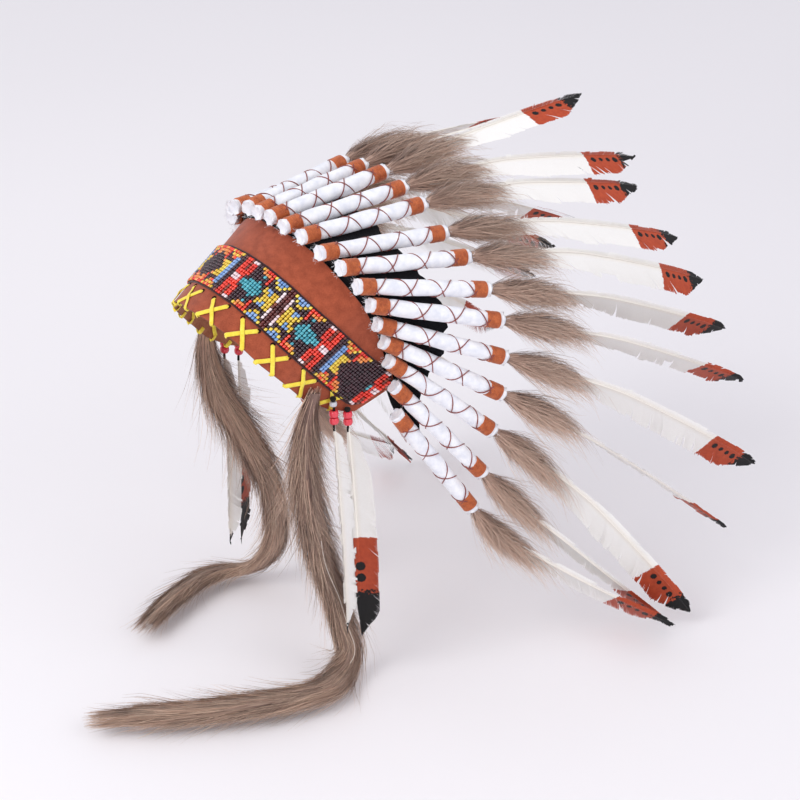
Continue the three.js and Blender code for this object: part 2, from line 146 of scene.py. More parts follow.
@dataclass
class Path:
    """A line with a side and a face direction carried along it, in metres."""

    points: np.ndarray
    faces: np.ndarray
    run: np.ndarray = field(init=False)
    sides: np.ndarray = field(init=False)

    def __post_init__(self) -> None:
        """Measures the line and squares its directions."""
        steps = np.linalg.norm(np.diff(self.points, axis=0), axis=1)
        self.run = np.concatenate([[0], np.cumsum(steps)])
        heading = unit(np.gradient(self.points, axis=0))
        self.sides = unit(np.cross(heading, self.faces))
        self.faces = unit(np.cross(self.sides, heading))

    @property
    def length(self) -> float:
        """The line's length."""
        return float(self.run[-1])

    def read(self, table: np.ndarray, stops: np.ndarray) -> np.ndarray:
        """A table of vectors read at distances along the line."""
        return np.stack([np.interp(stops, self.run, table[:, k]) for k in range(3)], -1)

    def place(self, stops: np.ndarray, across: np.ndarray, out: np.ndarray) -> np.ndarray:
        """Points beside the line.

        Args:
            stops: distances along it; past its end it goes on straight.
            across: distances along its side direction.
            out: distances along its face direction.

        Returns:
            The points.
        """
        ahead = unit(self.points[-1] - self.points[-2])
        past = np.maximum(stops - self.length, 0)[..., None] * ahead
        before = np.minimum(stops, 0)[..., None] * unit(self.points[1] - self.points[0])
        spot = self.read(self.points, stops) + past + before
        side = unit(self.read(self.sides, stops))
        face = unit(self.read(self.faces, stops))
        return spot + side * np.asarray(across)[..., None] + face * np.asarray(out)[..., None]


# Meshes from arrays


class Cutter:
    """Gathers arrays of points and faces, then turns them into one mesh object."""

    def __init__(self) -> None:
        """Starts empty."""
        self.points: list[np.ndarray] = []
        self.uvs: list[np.ndarray] = []
        self.faces: list[tuple[np.ndarray, int]] = []
        self.count = 0

    def add(self, points: np.ndarray, faces: np.ndarray, slot: int = 0, uv: np.ndarray | None = None) -> None:
        """Adds points and the faces between them.

        Args:
            points: shape (n, 3), in metres.
            faces: shape (m, 3) or (m, 4), into these points.
            slot: which of the object's finishes they take.
            uv: shape (n, 2), or zeros where there is none.
        """
        points = np.asarray(points, float).reshape(-1, 3)
        self.points.append(points)
        self.uvs.append(np.zeros((len(points), 2)) if uv is None else np.asarray(uv, float).reshape(-1, 2))
        self.faces.append((np.asarray(faces, int) + self.count, slot))
        self.count += len(points)

    def grid(
        self,
        points: np.ndarray,
        slot: int = 0,
        uv: np.ndarray | None = None,
        closed: bool = False,
        flip: bool = False,
    ) -> None:
        """Adds a grid of quads.

        Args:
            points: shape (rows, columns, 3).
            slot: which finish it takes.
            uv: shape (rows, columns, 2).
            closed: joins the last column to the first.
            flip: turns the faces over.
        """
        rows, columns = points.shape[:2]
        i, j = np.meshgrid(np.arange(rows - 1), np.arange(columns if closed else columns - 1), indexing="ij")
        k = (j + 1) % columns
        quads = np.stack([i * columns + j, i * columns + k, (i + 1) * columns + k, (i + 1) * columns + j], -1)
        quads = quads.reshape(-1, 4)
        self.add(points, quads[:, ::-1] if flip else quads, slot, uv)

    def ribbons(self, left: np.ndarray, right: np.ndarray, slot: int, uv: np.ndarray) -> None:
        """Adds many narrow strips.

        Args:
            left: shape (strips, points, 3).
            right: the other edges, of the same shape.
            slot: which finish they take.
            uv: shape (strips, points, 2).
        """
        strips, length = left.shape[:2]
        points = np.stack([left, right], 2)
        base = np.arange(strips)[:, None] * length * 2 + np.arange(length - 1)[None, :] * 2
        quads = np.stack([base, base + 1, base + 3, base + 2], -1).reshape(-1, 4)
        self.add(points, quads, slot, np.repeat(uv[:, :, None, :], 2, 2))

    def tube(
        self, line: np.ndarray, radius: np.ndarray | float, sides: int, slot: int = 0, flat: float = 1.0,
        face: np.ndarray | None = None, uv: np.ndarray | None = None,
    ) -> None:
        """Adds a closed tube along a line.

        Args:
            line: its points, shape (n, 3).
            radius: its radius, or one for each point.
            sides: corners of its section.
            slot: which finish it takes.
            flat: thickness as a share of width.
            face: the direction of its thin side, one for each point or one for all.
            uv: surface coordinates for each point of the line, or the turn and the share along it.
        """
        line = np.asarray(line, float)
        heading = unit(np.gradient(line, axis=0))
        if face is None:
            start = np.cross(heading[0], [0.31, 0.2, 0.93])
            faces = [unit(start)]
            for step in heading[1:]:
                faces.append(unit(faces[-1] - step * np.dot(faces[-1], step)))
            face = np.array(faces)
        face = np.broadcast_to(face, line.shape)
        across = unit(np.cross(heading, face))
        face = unit(np.cross(across, heading))
        turn = np.arange(sides) / sides * 2 * math.pi
        wide = np.broadcast_to(np.asarray(radius, float), (len(line),))[:, None, None]
        level = across[:, None] * np.cos(turn)[None, :, None]
        ring = level + face[:, None] * np.sin(turn)[None, :, None] * flat
        points = line[:, None] + ring * wide
        v = np.broadcast_to(np.linspace(0, 1, len(line))[:, None], (len(line), sides))
        u = np.broadcast_to(np.arange(sides)[None] / sides, (len(line), sides))
        spread = np.stack([u, v], -1) if uv is None else np.repeat(uv[:, None], sides, 1)
        self.grid(points, slot, spread, closed=True)
        for end, flip in ((0, False), (-1, True)):
            fan = np.stack([np.full(sides, sides), (np.arange(sides) + 1) % sides, np.arange(sides)], -1)
            cap = np.vstack([spread[end], spread[end][:1]])
            self.add(np.vstack([points[end], line[end][None]]), fan[:, ::-1] if flip else fan, slot, cap)

    def build(self, name: str, finishes: list[bpy.types.Material]) -> bpy.types.Object:
        """Makes the object.

        Args:
            name: its name.
            finishes: its materials, in the order of the slots.

        Returns:
            The new object, linked to the scene.
        """
        points, uvs = np.concatenate(self.points), np.concatenate(self.uvs)
        loops = np.concatenate([faces.ravel() for faces, _ in self.faces])
        totals = np.concatenate([np.full(len(faces), faces.shape[1]) for faces, _ in self.faces])
        slots = np.concatenate([np.full(len(faces), slot) for faces, slot in self.faces])
        mesh = bpy.data.meshes.new(name)
        mesh.vertices.add(len(points))
        mesh.vertices.foreach_set("co", points.astype(np.float32).ravel())
        mesh.loops.add(len(loops))
        mesh.loops.foreach_set("vertex_index", loops.astype(np.int32))
        mesh.polygons.add(len(totals))
        starts = np.concatenate([[0], np.cumsum(totals)[:-1]])
        mesh.polygons.foreach_set("loop_start", starts.astype(np.int32))
        mesh.polygons.foreach_set("loop_total", totals.astype(np.int32))
        mesh.polygons.foreach_set("material_index", slots.astype(np.int32))
        mesh.polygons.foreach_set("use_smooth", np.ones(len(totals), bool))
        layer = mesh.uv_layers.new(name="UVMap")
        layer.data.foreach_set("uv", uvs[loops].astype(np.float32).ravel())
        for finish in finishes:
            mesh.materials.append(finish)
        mesh.update(calc_edges=True)
        made = bpy.data.objects.new(name, mesh)
        bpy.context.scene.collection.objects.link(made)
        return made


def dress(
    cutter: Cutter, name: str, finishes: list[bpy.types.Material], slot: Slot, *nodes: str
) -> bpy.types.Object:
    """Builds a piece, seats it on the frame and reports it.

    Args:
        cutter: its mesh arrays.
        name: its name.
        finishes: its materials.
        slot: the record's slot that its finish comes from; not used.
        nodes: the solids that it stands for.

    Returns:
        The piece.
    """
    piece = cutter.build(name, finishes)
    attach(piece, ROOT)
    if nodes:
        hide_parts(*nodes)
    log.info("%s: %d faces", name, len(piece.data.polygons))
    return piece


# Finishes


def linear(code: str, alpha: float = 1.0) -> tuple[float, float, float, float]:
    """A screen colour such as "a05038" as linear light."""
    parts = [int(code[i : i + 2], 16) / 255 for i in (0, 2, 4)]
    return (*[p / 12.92 if p <= 0.04045 else ((p + 0.055) / 1.055) ** 2.4 for p in parts], alpha)


class Shader:
    """A material's node tree, with short ways to add to it."""

    def __init__(self, name: str) -> None:
        """Starts a material with one main shader."""
        self.material = bpy.data.materials.new(name)
        self.material.use_nodes = True
        self.tree = self.material.node_tree
        self.main = self.tree.nodes["Principled BSDF"]

    def set(self, **values: float | tuple) -> None:
        """Sets the main shader's own sockets; spaces are written as underscores."""
        for name, value in values.items():
            self.main.inputs[name.replace("_", " ")].default_value = value

    def node(self, kind: str, inputs: dict | None = None, **settings: object) -> bpy.types.Node:
        """Adds a node.

        Args:
            kind: Blender's node type.
            inputs: a value or an output socket for each input name or number.
            settings: the node's own properties.

        Returns:
            The node.
        """
        made = self.tree.nodes.new(kind)
        for name, value in settings.items():
            setattr(made, name, value)
        for name, value in (inputs or {}).items():
            if isinstance(value, bpy.types.NodeSocket):
                self.tree.links.new(value, made.inputs[name])
            else:
                made.inputs[name].default_value = value
        return made

    def math(
        self, operation: str, first: object, second: object = 0.0, third: object = 0.0
    ) -> bpy.types.NodeSocket:
        """A sum, product or other step between two or three values."""
        made = self.node("ShaderNodeMath", {0: first, 1: second, 2: third}, operation=operation)
        return made.outputs[0]

    def place(self) -> bpy.types.NodeSocket:
        """The point on the object, in metres."""
        return self.node("ShaderNodeTexCoord").outputs["Object"]

    def uv(self) -> tuple[bpy.types.NodeSocket, bpy.types.NodeSocket]:
        """The two surface coordinates."""
        made = self.node("ShaderNodeTexCoord")
        parts = self.node("ShaderNodeSeparateXYZ", {0: made.outputs["UV"]})
        return parts.outputs[0], parts.outputs[1]

    def noise(
        self, scale: float, detail: float = 2.0, at: bpy.types.NodeSocket | None = None,
        stretch: tuple | None = None,
    ) -> bpy.types.NodeSocket:
        """Noise of about one feature per 1/scale metres."""
        at = at or self.place()
        if stretch:
            at = self.node("ShaderNodeMapping", {"Vector": at, "Scale": stretch}).outputs[0]
        return self.node("ShaderNodeTexNoise", {"Vector": at, "Scale": scale, "Detail": detail}).outputs["Fac"]

    def ramp(self, value: bpy.types.NodeSocket, stops: list[tuple[float, tuple]]) -> bpy.types.NodeSocket:
        """Colours read off by a value."""
        made = self.node("ShaderNodeValToRGB", {0: value})
        elements = made.color_ramp.elements
        while len(elements) < len(stops):
            elements.new(0.5)
        for element, (position, colour) in zip(elements, stops):
            element.position = position
            element.color = colour
        return made.outputs[0]

    def mix(self, share: object, first: object, second: object) -> bpy.types.NodeSocket:
        """A blend of two colours."""
        made = self.node("ShaderNodeMix", data_type="RGBA")
        for name, value in ((0, share), (6, first), (7, second)):
            if isinstance(value, bpy.types.NodeSocket):
                self.tree.links.new(value, made.inputs[name])
            else:
                made.inputs[name].default_value = value
        return made.outputs[2]

    def colour(self, socket: bpy.types.NodeSocket) -> None:
        """Feeds the main shader's colour."""
        self.tree.links.new(socket, self.main.inputs["Base Color"])

    def bump(self, height: bpy.types.NodeSocket, distance: float, strength: float = 1.0) -> None:
        """Feeds the main shader's normal from a height in metres times the distance."""
        made = self.node("ShaderNodeBump", {"Height": height, "Distance": distance, "Strength": strength})
        self.tree.links.new(made.outputs[0], self.main.inputs["Normal"])


@dataclass(frozen=True)
class SuedeFinish:
    """Napped leather: a soft mottle, a fine nap and a light sheen."""

    name: str
    pale: str
    deep: str
    nap: float = 1400.0
    mottle: float = 150.0
    sheen: float = 0.25

    def build(self) -> bpy.types.Material:
        """Makes the material."""
        s = Shader(self.name)
        wide = s.noise(self.mottle, 4)
        fine = s.noise(self.nap, 3)
        both = s.math("MULTIPLY_ADD", fine, 0.55, s.math("MULTIPLY", wide, 0.6))
        s.colour(s.ramp(both, [(0.36, linear(self.deep)), (0.74, linear(self.pale))]))
        s.bump(both, 0.0004, 0.7)
        s.set(Roughness=0.93, Sheen_Weight=self.sheen, Sheen_Roughness=0.5, Specular_IOR_Level=0.2)
        return s.material


@dataclass(frozen=True)
class ClothFinish:
    """Plain woven cotton: crossing threads, with a bluish painted shade in soft noise patches."""

    name: str
    pale: str
    deep: str
    threads: float = 1700.0

    def build(self) -> bpy.types.Material:
        """Makes the material."""
        s = Shader(self.name)
        u, v = s.uv()
        warp = s.math("SINE", s.math("MULTIPLY", u, self.threads * 0.043 * 2 * math.pi))
        weft = s.math("SINE", s.math("MULTIPLY", v, self.threads * 0.11 * 2 * math.pi))
        weave = s.math("MULTIPLY", warp, weft)
        # The deep colour is painted shade: bluish noise patches that stand in for the shade in the cloth's
        # folds.
        cloud = s.noise(160, 3)
        s.colour(s.ramp(cloud, [(0.3, linear(self.deep)), (0.65, linear(self.pale))]))
        s.bump(s.math("MULTIPLY_ADD", weave, 0.2, s.noise(700, 2)), 0.00025, 0.55)
        s.set(Roughness=0.82, Sheen_Weight=0.15, Specular_IOR_Level=0.25)
        return s.material


@dataclass(frozen=True)
class FlossFinish:
    """Wound floss or cord: fine fibres and a silky sheen."""

    name: str
    pale: str
    deep: str
    roughness: float = 0.55
    fibre: float = 2600.0

    def build(self) -> bpy.types.Material:
        """Makes the material."""
        s = Shader(self.name)
        fibres = s.noise(self.fibre, 2, stretch=(1, 1, 0.35))
        patches = s.noise(240, 2)
        both = s.math("MULTIPLY_ADD", fibres, 0.6, s.math("MULTIPLY", patches, 0.5))
        s.colour(s.ramp(both, [(0.35, linear(self.deep)), (0.72, linear(self.pale))]))
        s.bump(fibres, 0.00015, 0.5)
        s.set(Roughness=self.roughness, Sheen_Weight=0.3, Specular_IOR_Level=0.35)
        return s.material


@dataclass(frozen=True)
class FeltFinish:
    """Matted wool felt."""

    name: str = "black_felt"
    pale: str = "2b2b31"
    deep: str = "08080a"

    def build(self) -> bpy.types.Material:
        """Makes the material."""
        s = Shader(self.name)
        mat = s.noise(1500, 5)
        s.colour(s.ramp(mat, [(0.35, linear(self.deep)), (0.8, linear(self.pale))]))
        s.bump(mat, 0.0006, 0.8)
        s.set(Roughness=0.97, Sheen_Weight=0.12, Specular_IOR_Level=0.12)
        return s.material


@dataclass(frozen=True)
class GlassBeadFinish:
    """Glazed glass beads, each a little different."""

    name: str
    pale: str
    deep: str
    roughness: float = 0.16

    def build(self) -> bpy.types.Material:
        """Makes the material."""
        s = Shader(self.name)
        own, _ = s.uv()
        s.colour(s.ramp(own, [(0.0, linear(self.deep)), (1.0, linear(self.pale))]))
        s.bump(s.noise(900, 2), 0.0001, 0.3)
        s.set(Roughness=self.roughness, Coat_Weight=0.5, Coat_Roughness=0.08, Specular_IOR_Level=0.55)
        return s.material


@dataclass(frozen=True)
class HairFinish:
    """Hair strands: shade by strand, darker at the root and pale at the tip."""

    name: str
    stops: tuple[tuple[float, str], ...]
    tip: str
    tip_share: float = 0.45

    def build(self) -> bpy.types.Material:
        """Makes the material."""
        s = Shader(self.name)
        own, along = s.uv()
        base = s.ramp(own, [(at, linear(code)) for at, code in self.stops])
        paling = s.math("MULTIPLY", s.math("POWER", along, 1.6), self.tip_share)
        s.colour(s.mix(paling, base, linear(self.tip)))
        s.set(Roughness=0.5, Sheen_Weight=0.25, Specular_IOR_Level=0.35)
        s.set(Anisotropic=0.5)
        return s.material


@dataclass(frozen=True)
class VaneFinish:
    """A white vane painted by distance from its tip: black end, rust-red section, black dots."""

    name: str
    white: str = "fdfcfb"
    shade: str = "efebe6"
    cream: str = "f3e8d4"
    red: str = "cc5630"
    red_deep: str = "a03a22"
    black: str = "100e10"
    black_reach: float = 0.023
    red_reach: float = 0.064
    dot_reaches: tuple[float, ...] = (0.0295, 0.038, 0.0465, 0.0555)
    dot_sizes: tuple[float, ...] = (0.003, 0.0023, 0.0023, 0.0029)
    dot_across: float = -0.0052

    def build(self) -> bpy.types.Material:
        """Makes the material. The surface coordinates hold metres: u - 0.5 across, v from the tip."""
        s = Shader(self.name)
        u, v = s.uv()
        across = s.math("SUBTRACT", u, 0.5)
        grain = s.noise(420, 3)
        wander = s.math("SUBTRACT", grain, 0.5)
        ragged = s.math("MULTIPLY_ADD", wander, 0.02, v)
        white = s.mix(s.noise(1300, 2), linear(self.white), linear(self.shade))
        off_shaft = s.math("SMOOTH_MIN", s.math("MULTIPLY", s.math("ABSOLUTE", across), 240.0), 1.0, 0.3)
        creamy = s.math("MULTIPLY", s.math("SUBTRACT", 1.0, off_shaft), 0.4)
        base = s.mix(creamy, white, linear(self.cream))
        rust = s.mix(s.noise(260, 4), linear(self.red), linear(self.red_deep))
        in_red = s.math("LESS_THAN", s.math("MULTIPLY_ADD", wander, 0.004, v), self.red_reach)
        painted = s.mix(in_red, base, rust)
        dark = s.math("LESS_THAN", ragged, self.black_reach)
        for reach, size in zip(self.dot_reaches, self.dot_sizes):
            rise = s.math("SUBTRACT", v, reach)
            over = s.math("SUBTRACT", across, self.dot_across)
            gap = s.math("SQRT", s.math("ADD", s.math("MULTIPLY", rise, rise), s.math("MULTIPLY", over, over)))
            fuzzy = s.math("MULTIPLY_ADD", s.math("SUBTRACT", s.noise(900, 2), 0.5), 0.0012, gap)
            dark = s.math("MAXIMUM", dark, s.math("LESS_THAN", fuzzy, size))
        s.colour(s.mix(dark, painted, linear(self.black)))
        s.bump(s.noise(2200, 2), 0.00012, 0.4)
        s.set(Roughness=0.62, Sheen_Weight=0.2, Specular_IOR_Level=0.3)
        return s.material


class Finishes:
    """The headdress's shared materials, made once; the woven beads' glass is made with the beadwork."""

    def __init__(self) -> None:
        """Builds them all."""
        self.suede = SuedeFinish("rust_suede", "b2593d", "8a402a").build()
        self.cut_edge = SuedeFinish("cut_suede_edge", "8c4630", "54241a").build()
        # near-black painted shade for the dark inside of each punched hole
        self.hole = SuedeFinish("punched_hole_painted_shade", "2a130d", "120806", sheen=0.0).build()
        self.lining = SuedeFinish("suede_back", "b77a5c", "93553b", nap=900.0, sheen=0.2).build()
        self.lace = FlossFinish("yellow_lace", "fff05c", "efc92e", roughness=0.8).build()
        self.backing = FlossFinish("maroon_backing", "4a1f24", "240c12", roughness=0.85).build()
        self.felt = FeltFinish().build()
        # e8eaf3 is a painted bluish shade on the white cotton
        self.cloth = ClothFinish("white_cotton_painted_shade", "fcfcff", "e8eaf3").build()
        self.floss = FlossFinish("rust_floss", "d9763f", "9a401c").build()
        self.thread = FlossFinish("crossing_thread", "9c4a42", "6b2a28").build()
        self.vane = VaneFinish("painted_vane").build()
        self.plain_vane = VaneFinish(
            "plain_vane", black_reach=0.01, red_reach=0.0, dot_reaches=(), dot_sizes=()
        ).build()
        self.drop_vane = VaneFinish(
            "drop_vane", black_reach=0.043, red_reach=0.094, dot_reaches=(0.056, 0.067),
            dot_sizes=(0.0042, 0.0042), dot_across=0.001,
        ).build()
        self.puff = HairFinish(
            "puff_hair",
            ((0.0, "634b43"), (0.35, "a38474"), (0.65, "cdab98"), (1.0, "e8ccb8")),
            "e8d4c0",
        ).build()
        self.tail = HairFinish(
            "tail_hair",
            ((0.0, "4a352f"), (0.35, "8f7064"), (0.65, "c09b88"), (1.0, "e6c8ae")),
            "dcc4ac",
        ).build()
        self.seam = FlossFinish("seam_thread", "efe6dc", "c9b8a8").build()
        self.red_bead = GlassBeadFinish("red_pony_bead", "f3485a", "dd2c3e", 0.22).build()
        self.pale_bead = GlassBeadFinish("silver_white_bead", "dcdce2", "b9bac4", 0.2).build()
        self.thong = SuedeFinish("black_thong", "25211f", "0c0a0a", sheen=0.1).build()


# The crown's shape, as the solids have it


@dataclass(frozen=True)
class Arc:
    """Half an ellipse across the front with straight sides behind, walked by its own length, in mm."""

    half_width: float
    front_depth: float

    def walk(self, along: np.ndarray) -> tuple[np.ndarray, np.ndarray]:
        """Points and outward directions at distances from the front.

        Args:
            along: signed distances, positive to the wearer's left.

        Returns:
            The points and the outward unit vectors, flat in z.
        """
        turn = np.linspace(-math.pi / 2, 0, 1500)
        x, y = self.half_width * np.cos(turn), self.front_depth * np.sin(turn)
        run = np.concatenate([[0], np.cumsum(np.hypot(np.diff(x), np.diff(y)))])
        heading = unit(np.stack([-self.half_width * np.sin(turn), self.front_depth * np.cos(turn)], -1))
        along = np.asarray(along, float)
        side, reach = np.where(along < 0, -1.0, 1.0), np.abs(along)
        on = np.minimum(reach, run[-1])
        spot_x, spot_y = np.interp(on, run, x), np.interp(on, run, y) + np.maximum(reach - run[-1], 0)
        heading_x, heading_y = np.interp(on, run, heading[:, 0]), np.interp(on, run, heading[:, 1])
        zero = np.zeros_like(spot_x)
        return (
            np.stack([side * spot_x, spot_y, zero], -1),
            np.stack([side * heading_y, -heading_x, zero], -1),
        )


@dataclass(frozen=True)
class Crown:
    """The suede band's shape: heights read from a table of shares, faces between two arcs."""

    rim: Arc = Arc(76, 86)
    crest: Arc = Arc(87, 54.5)
    half_length: float = 178
    height: float = 98
    wall: float = 2.4
    strip_width: float = 40
    strip_inset: float = 3
    strip_corner: float = 12
    rows: tuple[tuple[float, float, float, float], ...] = (
        (0, 0.06, 0.29, 1),
        (0.15, 0.066, 0.28, 1),
        (0.3, 0.036, 0.245, 0.97),
        (0.45, -0.015, 0.194, 0.9),
        (0.6, -0.04, 0.153, 0.815),
        (0.75, -0.07, 0.118, 0.7),
        (0.88, -0.03, 0.098, 0.555),
        (0.93, 0.005, 0.095, 0.525),
        (0.97, 0.035, 0.093, 0.485),
        (1, 0.07, 0.092, 0.41),
        (1.2, 0.07, 0.092, 0.25),
    )

    def level(self, along: np.ndarray, column: int) -> np.ndarray:
        """Height of the rim (1), of the strip's lower edge (2) or of the crest (3)."""
        table = np.array(self.rows)
        return np.interp(np.abs(along) / self.half_length, table[:, 0], table[:, column]) * self.height

    def leaning(self, along: np.ndarray, height: np.ndarray, depth: np.ndarray | float = 0) -> np.ndarray:
        """Points on the band's outer face, or depth behind it, in the crown's leaning frame, in mm."""
        along, height = np.broadcast_arrays(np.asarray(along, float), np.asarray(height, float))
        share = (height / self.level(along, 3))[..., None]
        low, low_out = self.rim.walk(along)
        high, high_out = self.crest.walk(along)
        point = low + (high - low) * share
        point = point - unit(low_out + (high_out - low_out) * share) * np.asarray(depth, float)[..., None]
        point[..., 2] = height
        return point

    def point(self, along: np.ndarray, height: np.ndarray, depth: np.ndarray | float = 0) -> np.ndarray:
        """The same points in the upright frame, in metres."""
        return upright(self.leaning(along, height, depth)) * MM

    def strip_edges(self, along: np.ndarray) -> tuple[np.ndarray, np.ndarray]:
        """Lower and upper edge of the bead strip, with its rounded ends."""
        inner = self.half_length - self.strip_inset - self.strip_corner
        past = np.clip((np.abs(along) - inner) / self.strip_corner, 0, 1)
        rounded = self.strip_corner * (1 - np.sqrt(1 - past**2))
        low = self.level(along, 2)
        return low + rounded, low + self.strip_width - rounded


@dataclass(frozen=True)
class Unit:
    """One sleeve with its plume: a frame in the upright frame, in metres, and the feather's course."""

    name: str
    side: int
    along: float
    seat: np.ndarray
    across: np.ndarray
    heading: np.ndarray
    out: np.ndarray
    feather_heading: np.ndarray
    reach: float
    roll: float
    seed: int

    def place(self, local: np.ndarray) -> np.ndarray:
        """Points given as across, along and out, in metres."""
        basis = np.stack([self.across, self.heading, self.out])
        return self.seat + np.asarray(local) @ basis


@dataclass(frozen=True)
class Fan:
    """Where each unit leaves the crest and where its sleeve and feather point."""

    crown: Crown
    sleeve_radius: float = 6.8
    gap: float = 0.3
    flare: float = 3.4
    feather_reach: float = 0.3
    centre: tuple[float, ...] = (0.01, 1.107, 5.9, -2, 5, 0, 0.73, 10)
    left: tuple[tuple[float, ...], ...] = (
        (0.122, 1.096, 3.7, 1, -8, 0, 0.88, 20),
        (0.238, 1.092, 0.7, 2, -11, -1, 0.83, 15),
        (0.363, 1.048, -3.9, 4.6, -16, -1, 0.94, 5),
        (0.481, 1.029, -7.2, 7.3, -20, -1, 0.98, 5),
        (0.592, 0.972, -11.7, 11.9, -23, 0, 0.97, 55),
        (0.696, 0.896, -15.6, 16, -26, 3, 0.98, 40),
        (0.796, 0.79, -22.3, 19.4, -33, 11, 1, 5),
        (0.889, 0.69, -31, 20.9, -39, 8, 1.01, 60),
        (0.978, 0.565, -40.3, 20.4, -49, 23, 0.92, 10),
        (1.094, 0.4, -49.9, 22.2, -46, 21, 0.84, 50),
        (1.2, 0.205, -56, 21, -37, 28, 0.75, 40),
    )
    right_starts: tuple[tuple[float, ...], ...] = (
        (0.094, 1.096, 4.8, 7.7, 4, -3, 0.68, 20),
        (0.196, 1.092, 3.3, 13.5, 2, -5, 0.66, 15),
        (0.363, 1.048, -1, 9.5, -12, -1, 0.94, 5),
    )

    def units(self) -> list[Unit]:
        """The units from the wearer's far right round the crest to the far left."""
        right = [(f"right_{i + 1}", -1, row) for i, row in enumerate(self.right_starts + self.left[3:])]
        left = [(f"left_{i + 1}", 1, row) for i, row in enumerate(self.left)]
        rows = [*right[::-1], ("centre", 1, self.centre), *left]
        arc = Arc(
            self.crown.crest.half_width + self.sleeve_radius + self.gap + self.flare,
            self.crown.crest.front_depth + self.sleeve_radius + self.gap,
        )
        seats, headings = [], []
        for _, side, row in rows:
            seat, _ = arc.walk(np.array(side * row[0] * self.crown.half_length))
            seat[2] = row[1] * self.crown.height
            seats.append(upright(seat))
            headings.append(aim(row[2], side * row[3]))
        made = []
        for i, (name, side, row) in enumerate(rows):
            across = seats[min(i + 1, len(rows) - 1)] - seats[max(i - 1, 0)]
            out = -unit(np.cross(headings[i], across))
            wide = unit(np.cross(headings[i], out))
            made.append(
                Unit(
                    name, side, side * row[0] * self.crown.half_length, seats[i] * MM, wide, headings[i],
                    unit(np.cross(wide, headings[i])), aim(row[4], side * row[5]),
                    row[6] * self.feather_reach, math.radians(side * row[7]), 40 + i,
                )
            )
        return made


def aim(lift: float, yaw: float) -> np.ndarray:
    """A direction from its angles above the horizon and to the wearer's left of straight back."""
    lift, yaw = math.radians(lift), math.radians(yaw)
    return np.array([math.sin(yaw) * math.cos(lift), math.cos(yaw) * math.cos(lift), math.sin(lift)])


# The band


@dataclass
class SuedePanel:
    """The band of suede: a fine lofted sheet, softly dented along its lacing, with punched holes."""

    crown: Crown
    finishes: Finishes
    columns: int = 220
    rows: int = 24
    # How far the cut edges bulge, as a share of the height
    edge_rise: float = 0.004

    def shape(self, along: np.ndarray, share: np.ndarray, depth: np.ndarray) -> np.ndarray:
        """Points of the panel with its dents, from the distance along it and its share of the height."""
        low, high = self.crown.level(along, 1), self.crown.level(along, 3)
        height = low + (high - low) * share
        wave = 0.35 * np.sin(along / 9.1 + 2.1 * share) + 0.3 * np.sin(along / 17.3 + 4 * share)
        near_rim = np.exp(-(((height - low) / 9) ** 2))
        dent = near_rim * 0.5 * np.cos((along - 18) / 33 * 2 * math.pi)
        return self.crown.point(along, height, depth + dent + wave * 0.4)

    def build(self) -> bpy.types.Object:
        """Builds the panel."""
        cutter = Cutter()
        along = np.linspace(-self.crown.half_length, self.crown.half_length, self.columns)
        along = np.clip(along, -self.crown.half_length + 0.01, self.crown.half_length - 0.01)
        share = np.linspace(0, 1, self.rows)
        wall = self.crown.wall
        section = [(s, 0.0) for s in share]
        rise = self.edge_rise
        section += [(1 + rise, wall * 0.25), (1 + rise, wall * 0.75)]
        section += [(s, wall) for s in share[::-1]]
        section += [(-rise, wall * 0.75), (-rise, wall * 0.25)]
        grid = np.stack(
            [self.shape(along, np.full_like(along, s), np.full_like(along, d)) for s, d in section], 1
        )
        n = self.rows
        cutter.grid(grid[:, :n], 0, flip=True)
        cutter.grid(grid[:, n - 1 : n + 3], 1, flip=True)
        cutter.grid(grid[:, n + 2 : 2 * n + 2], 2, flip=True)
        cutter.grid(np.concatenate([grid[:, 2 * n + 1 :], grid[:, :1]], 1), 1, flip=True)
        for end, flip in ((0, False), (-1, True)):
            sheet = np.stack([grid[end, :n], grid[end, n + 2 : 2 * n + 2][::-1]])
            cutter.grid(sheet, 1, flip=flip)
        f = self.finishes
        return dress(cutter, "suede_panel", [f.suede, f.cut_edge, f.lining], Slot.SUEDE, "brow_panel")


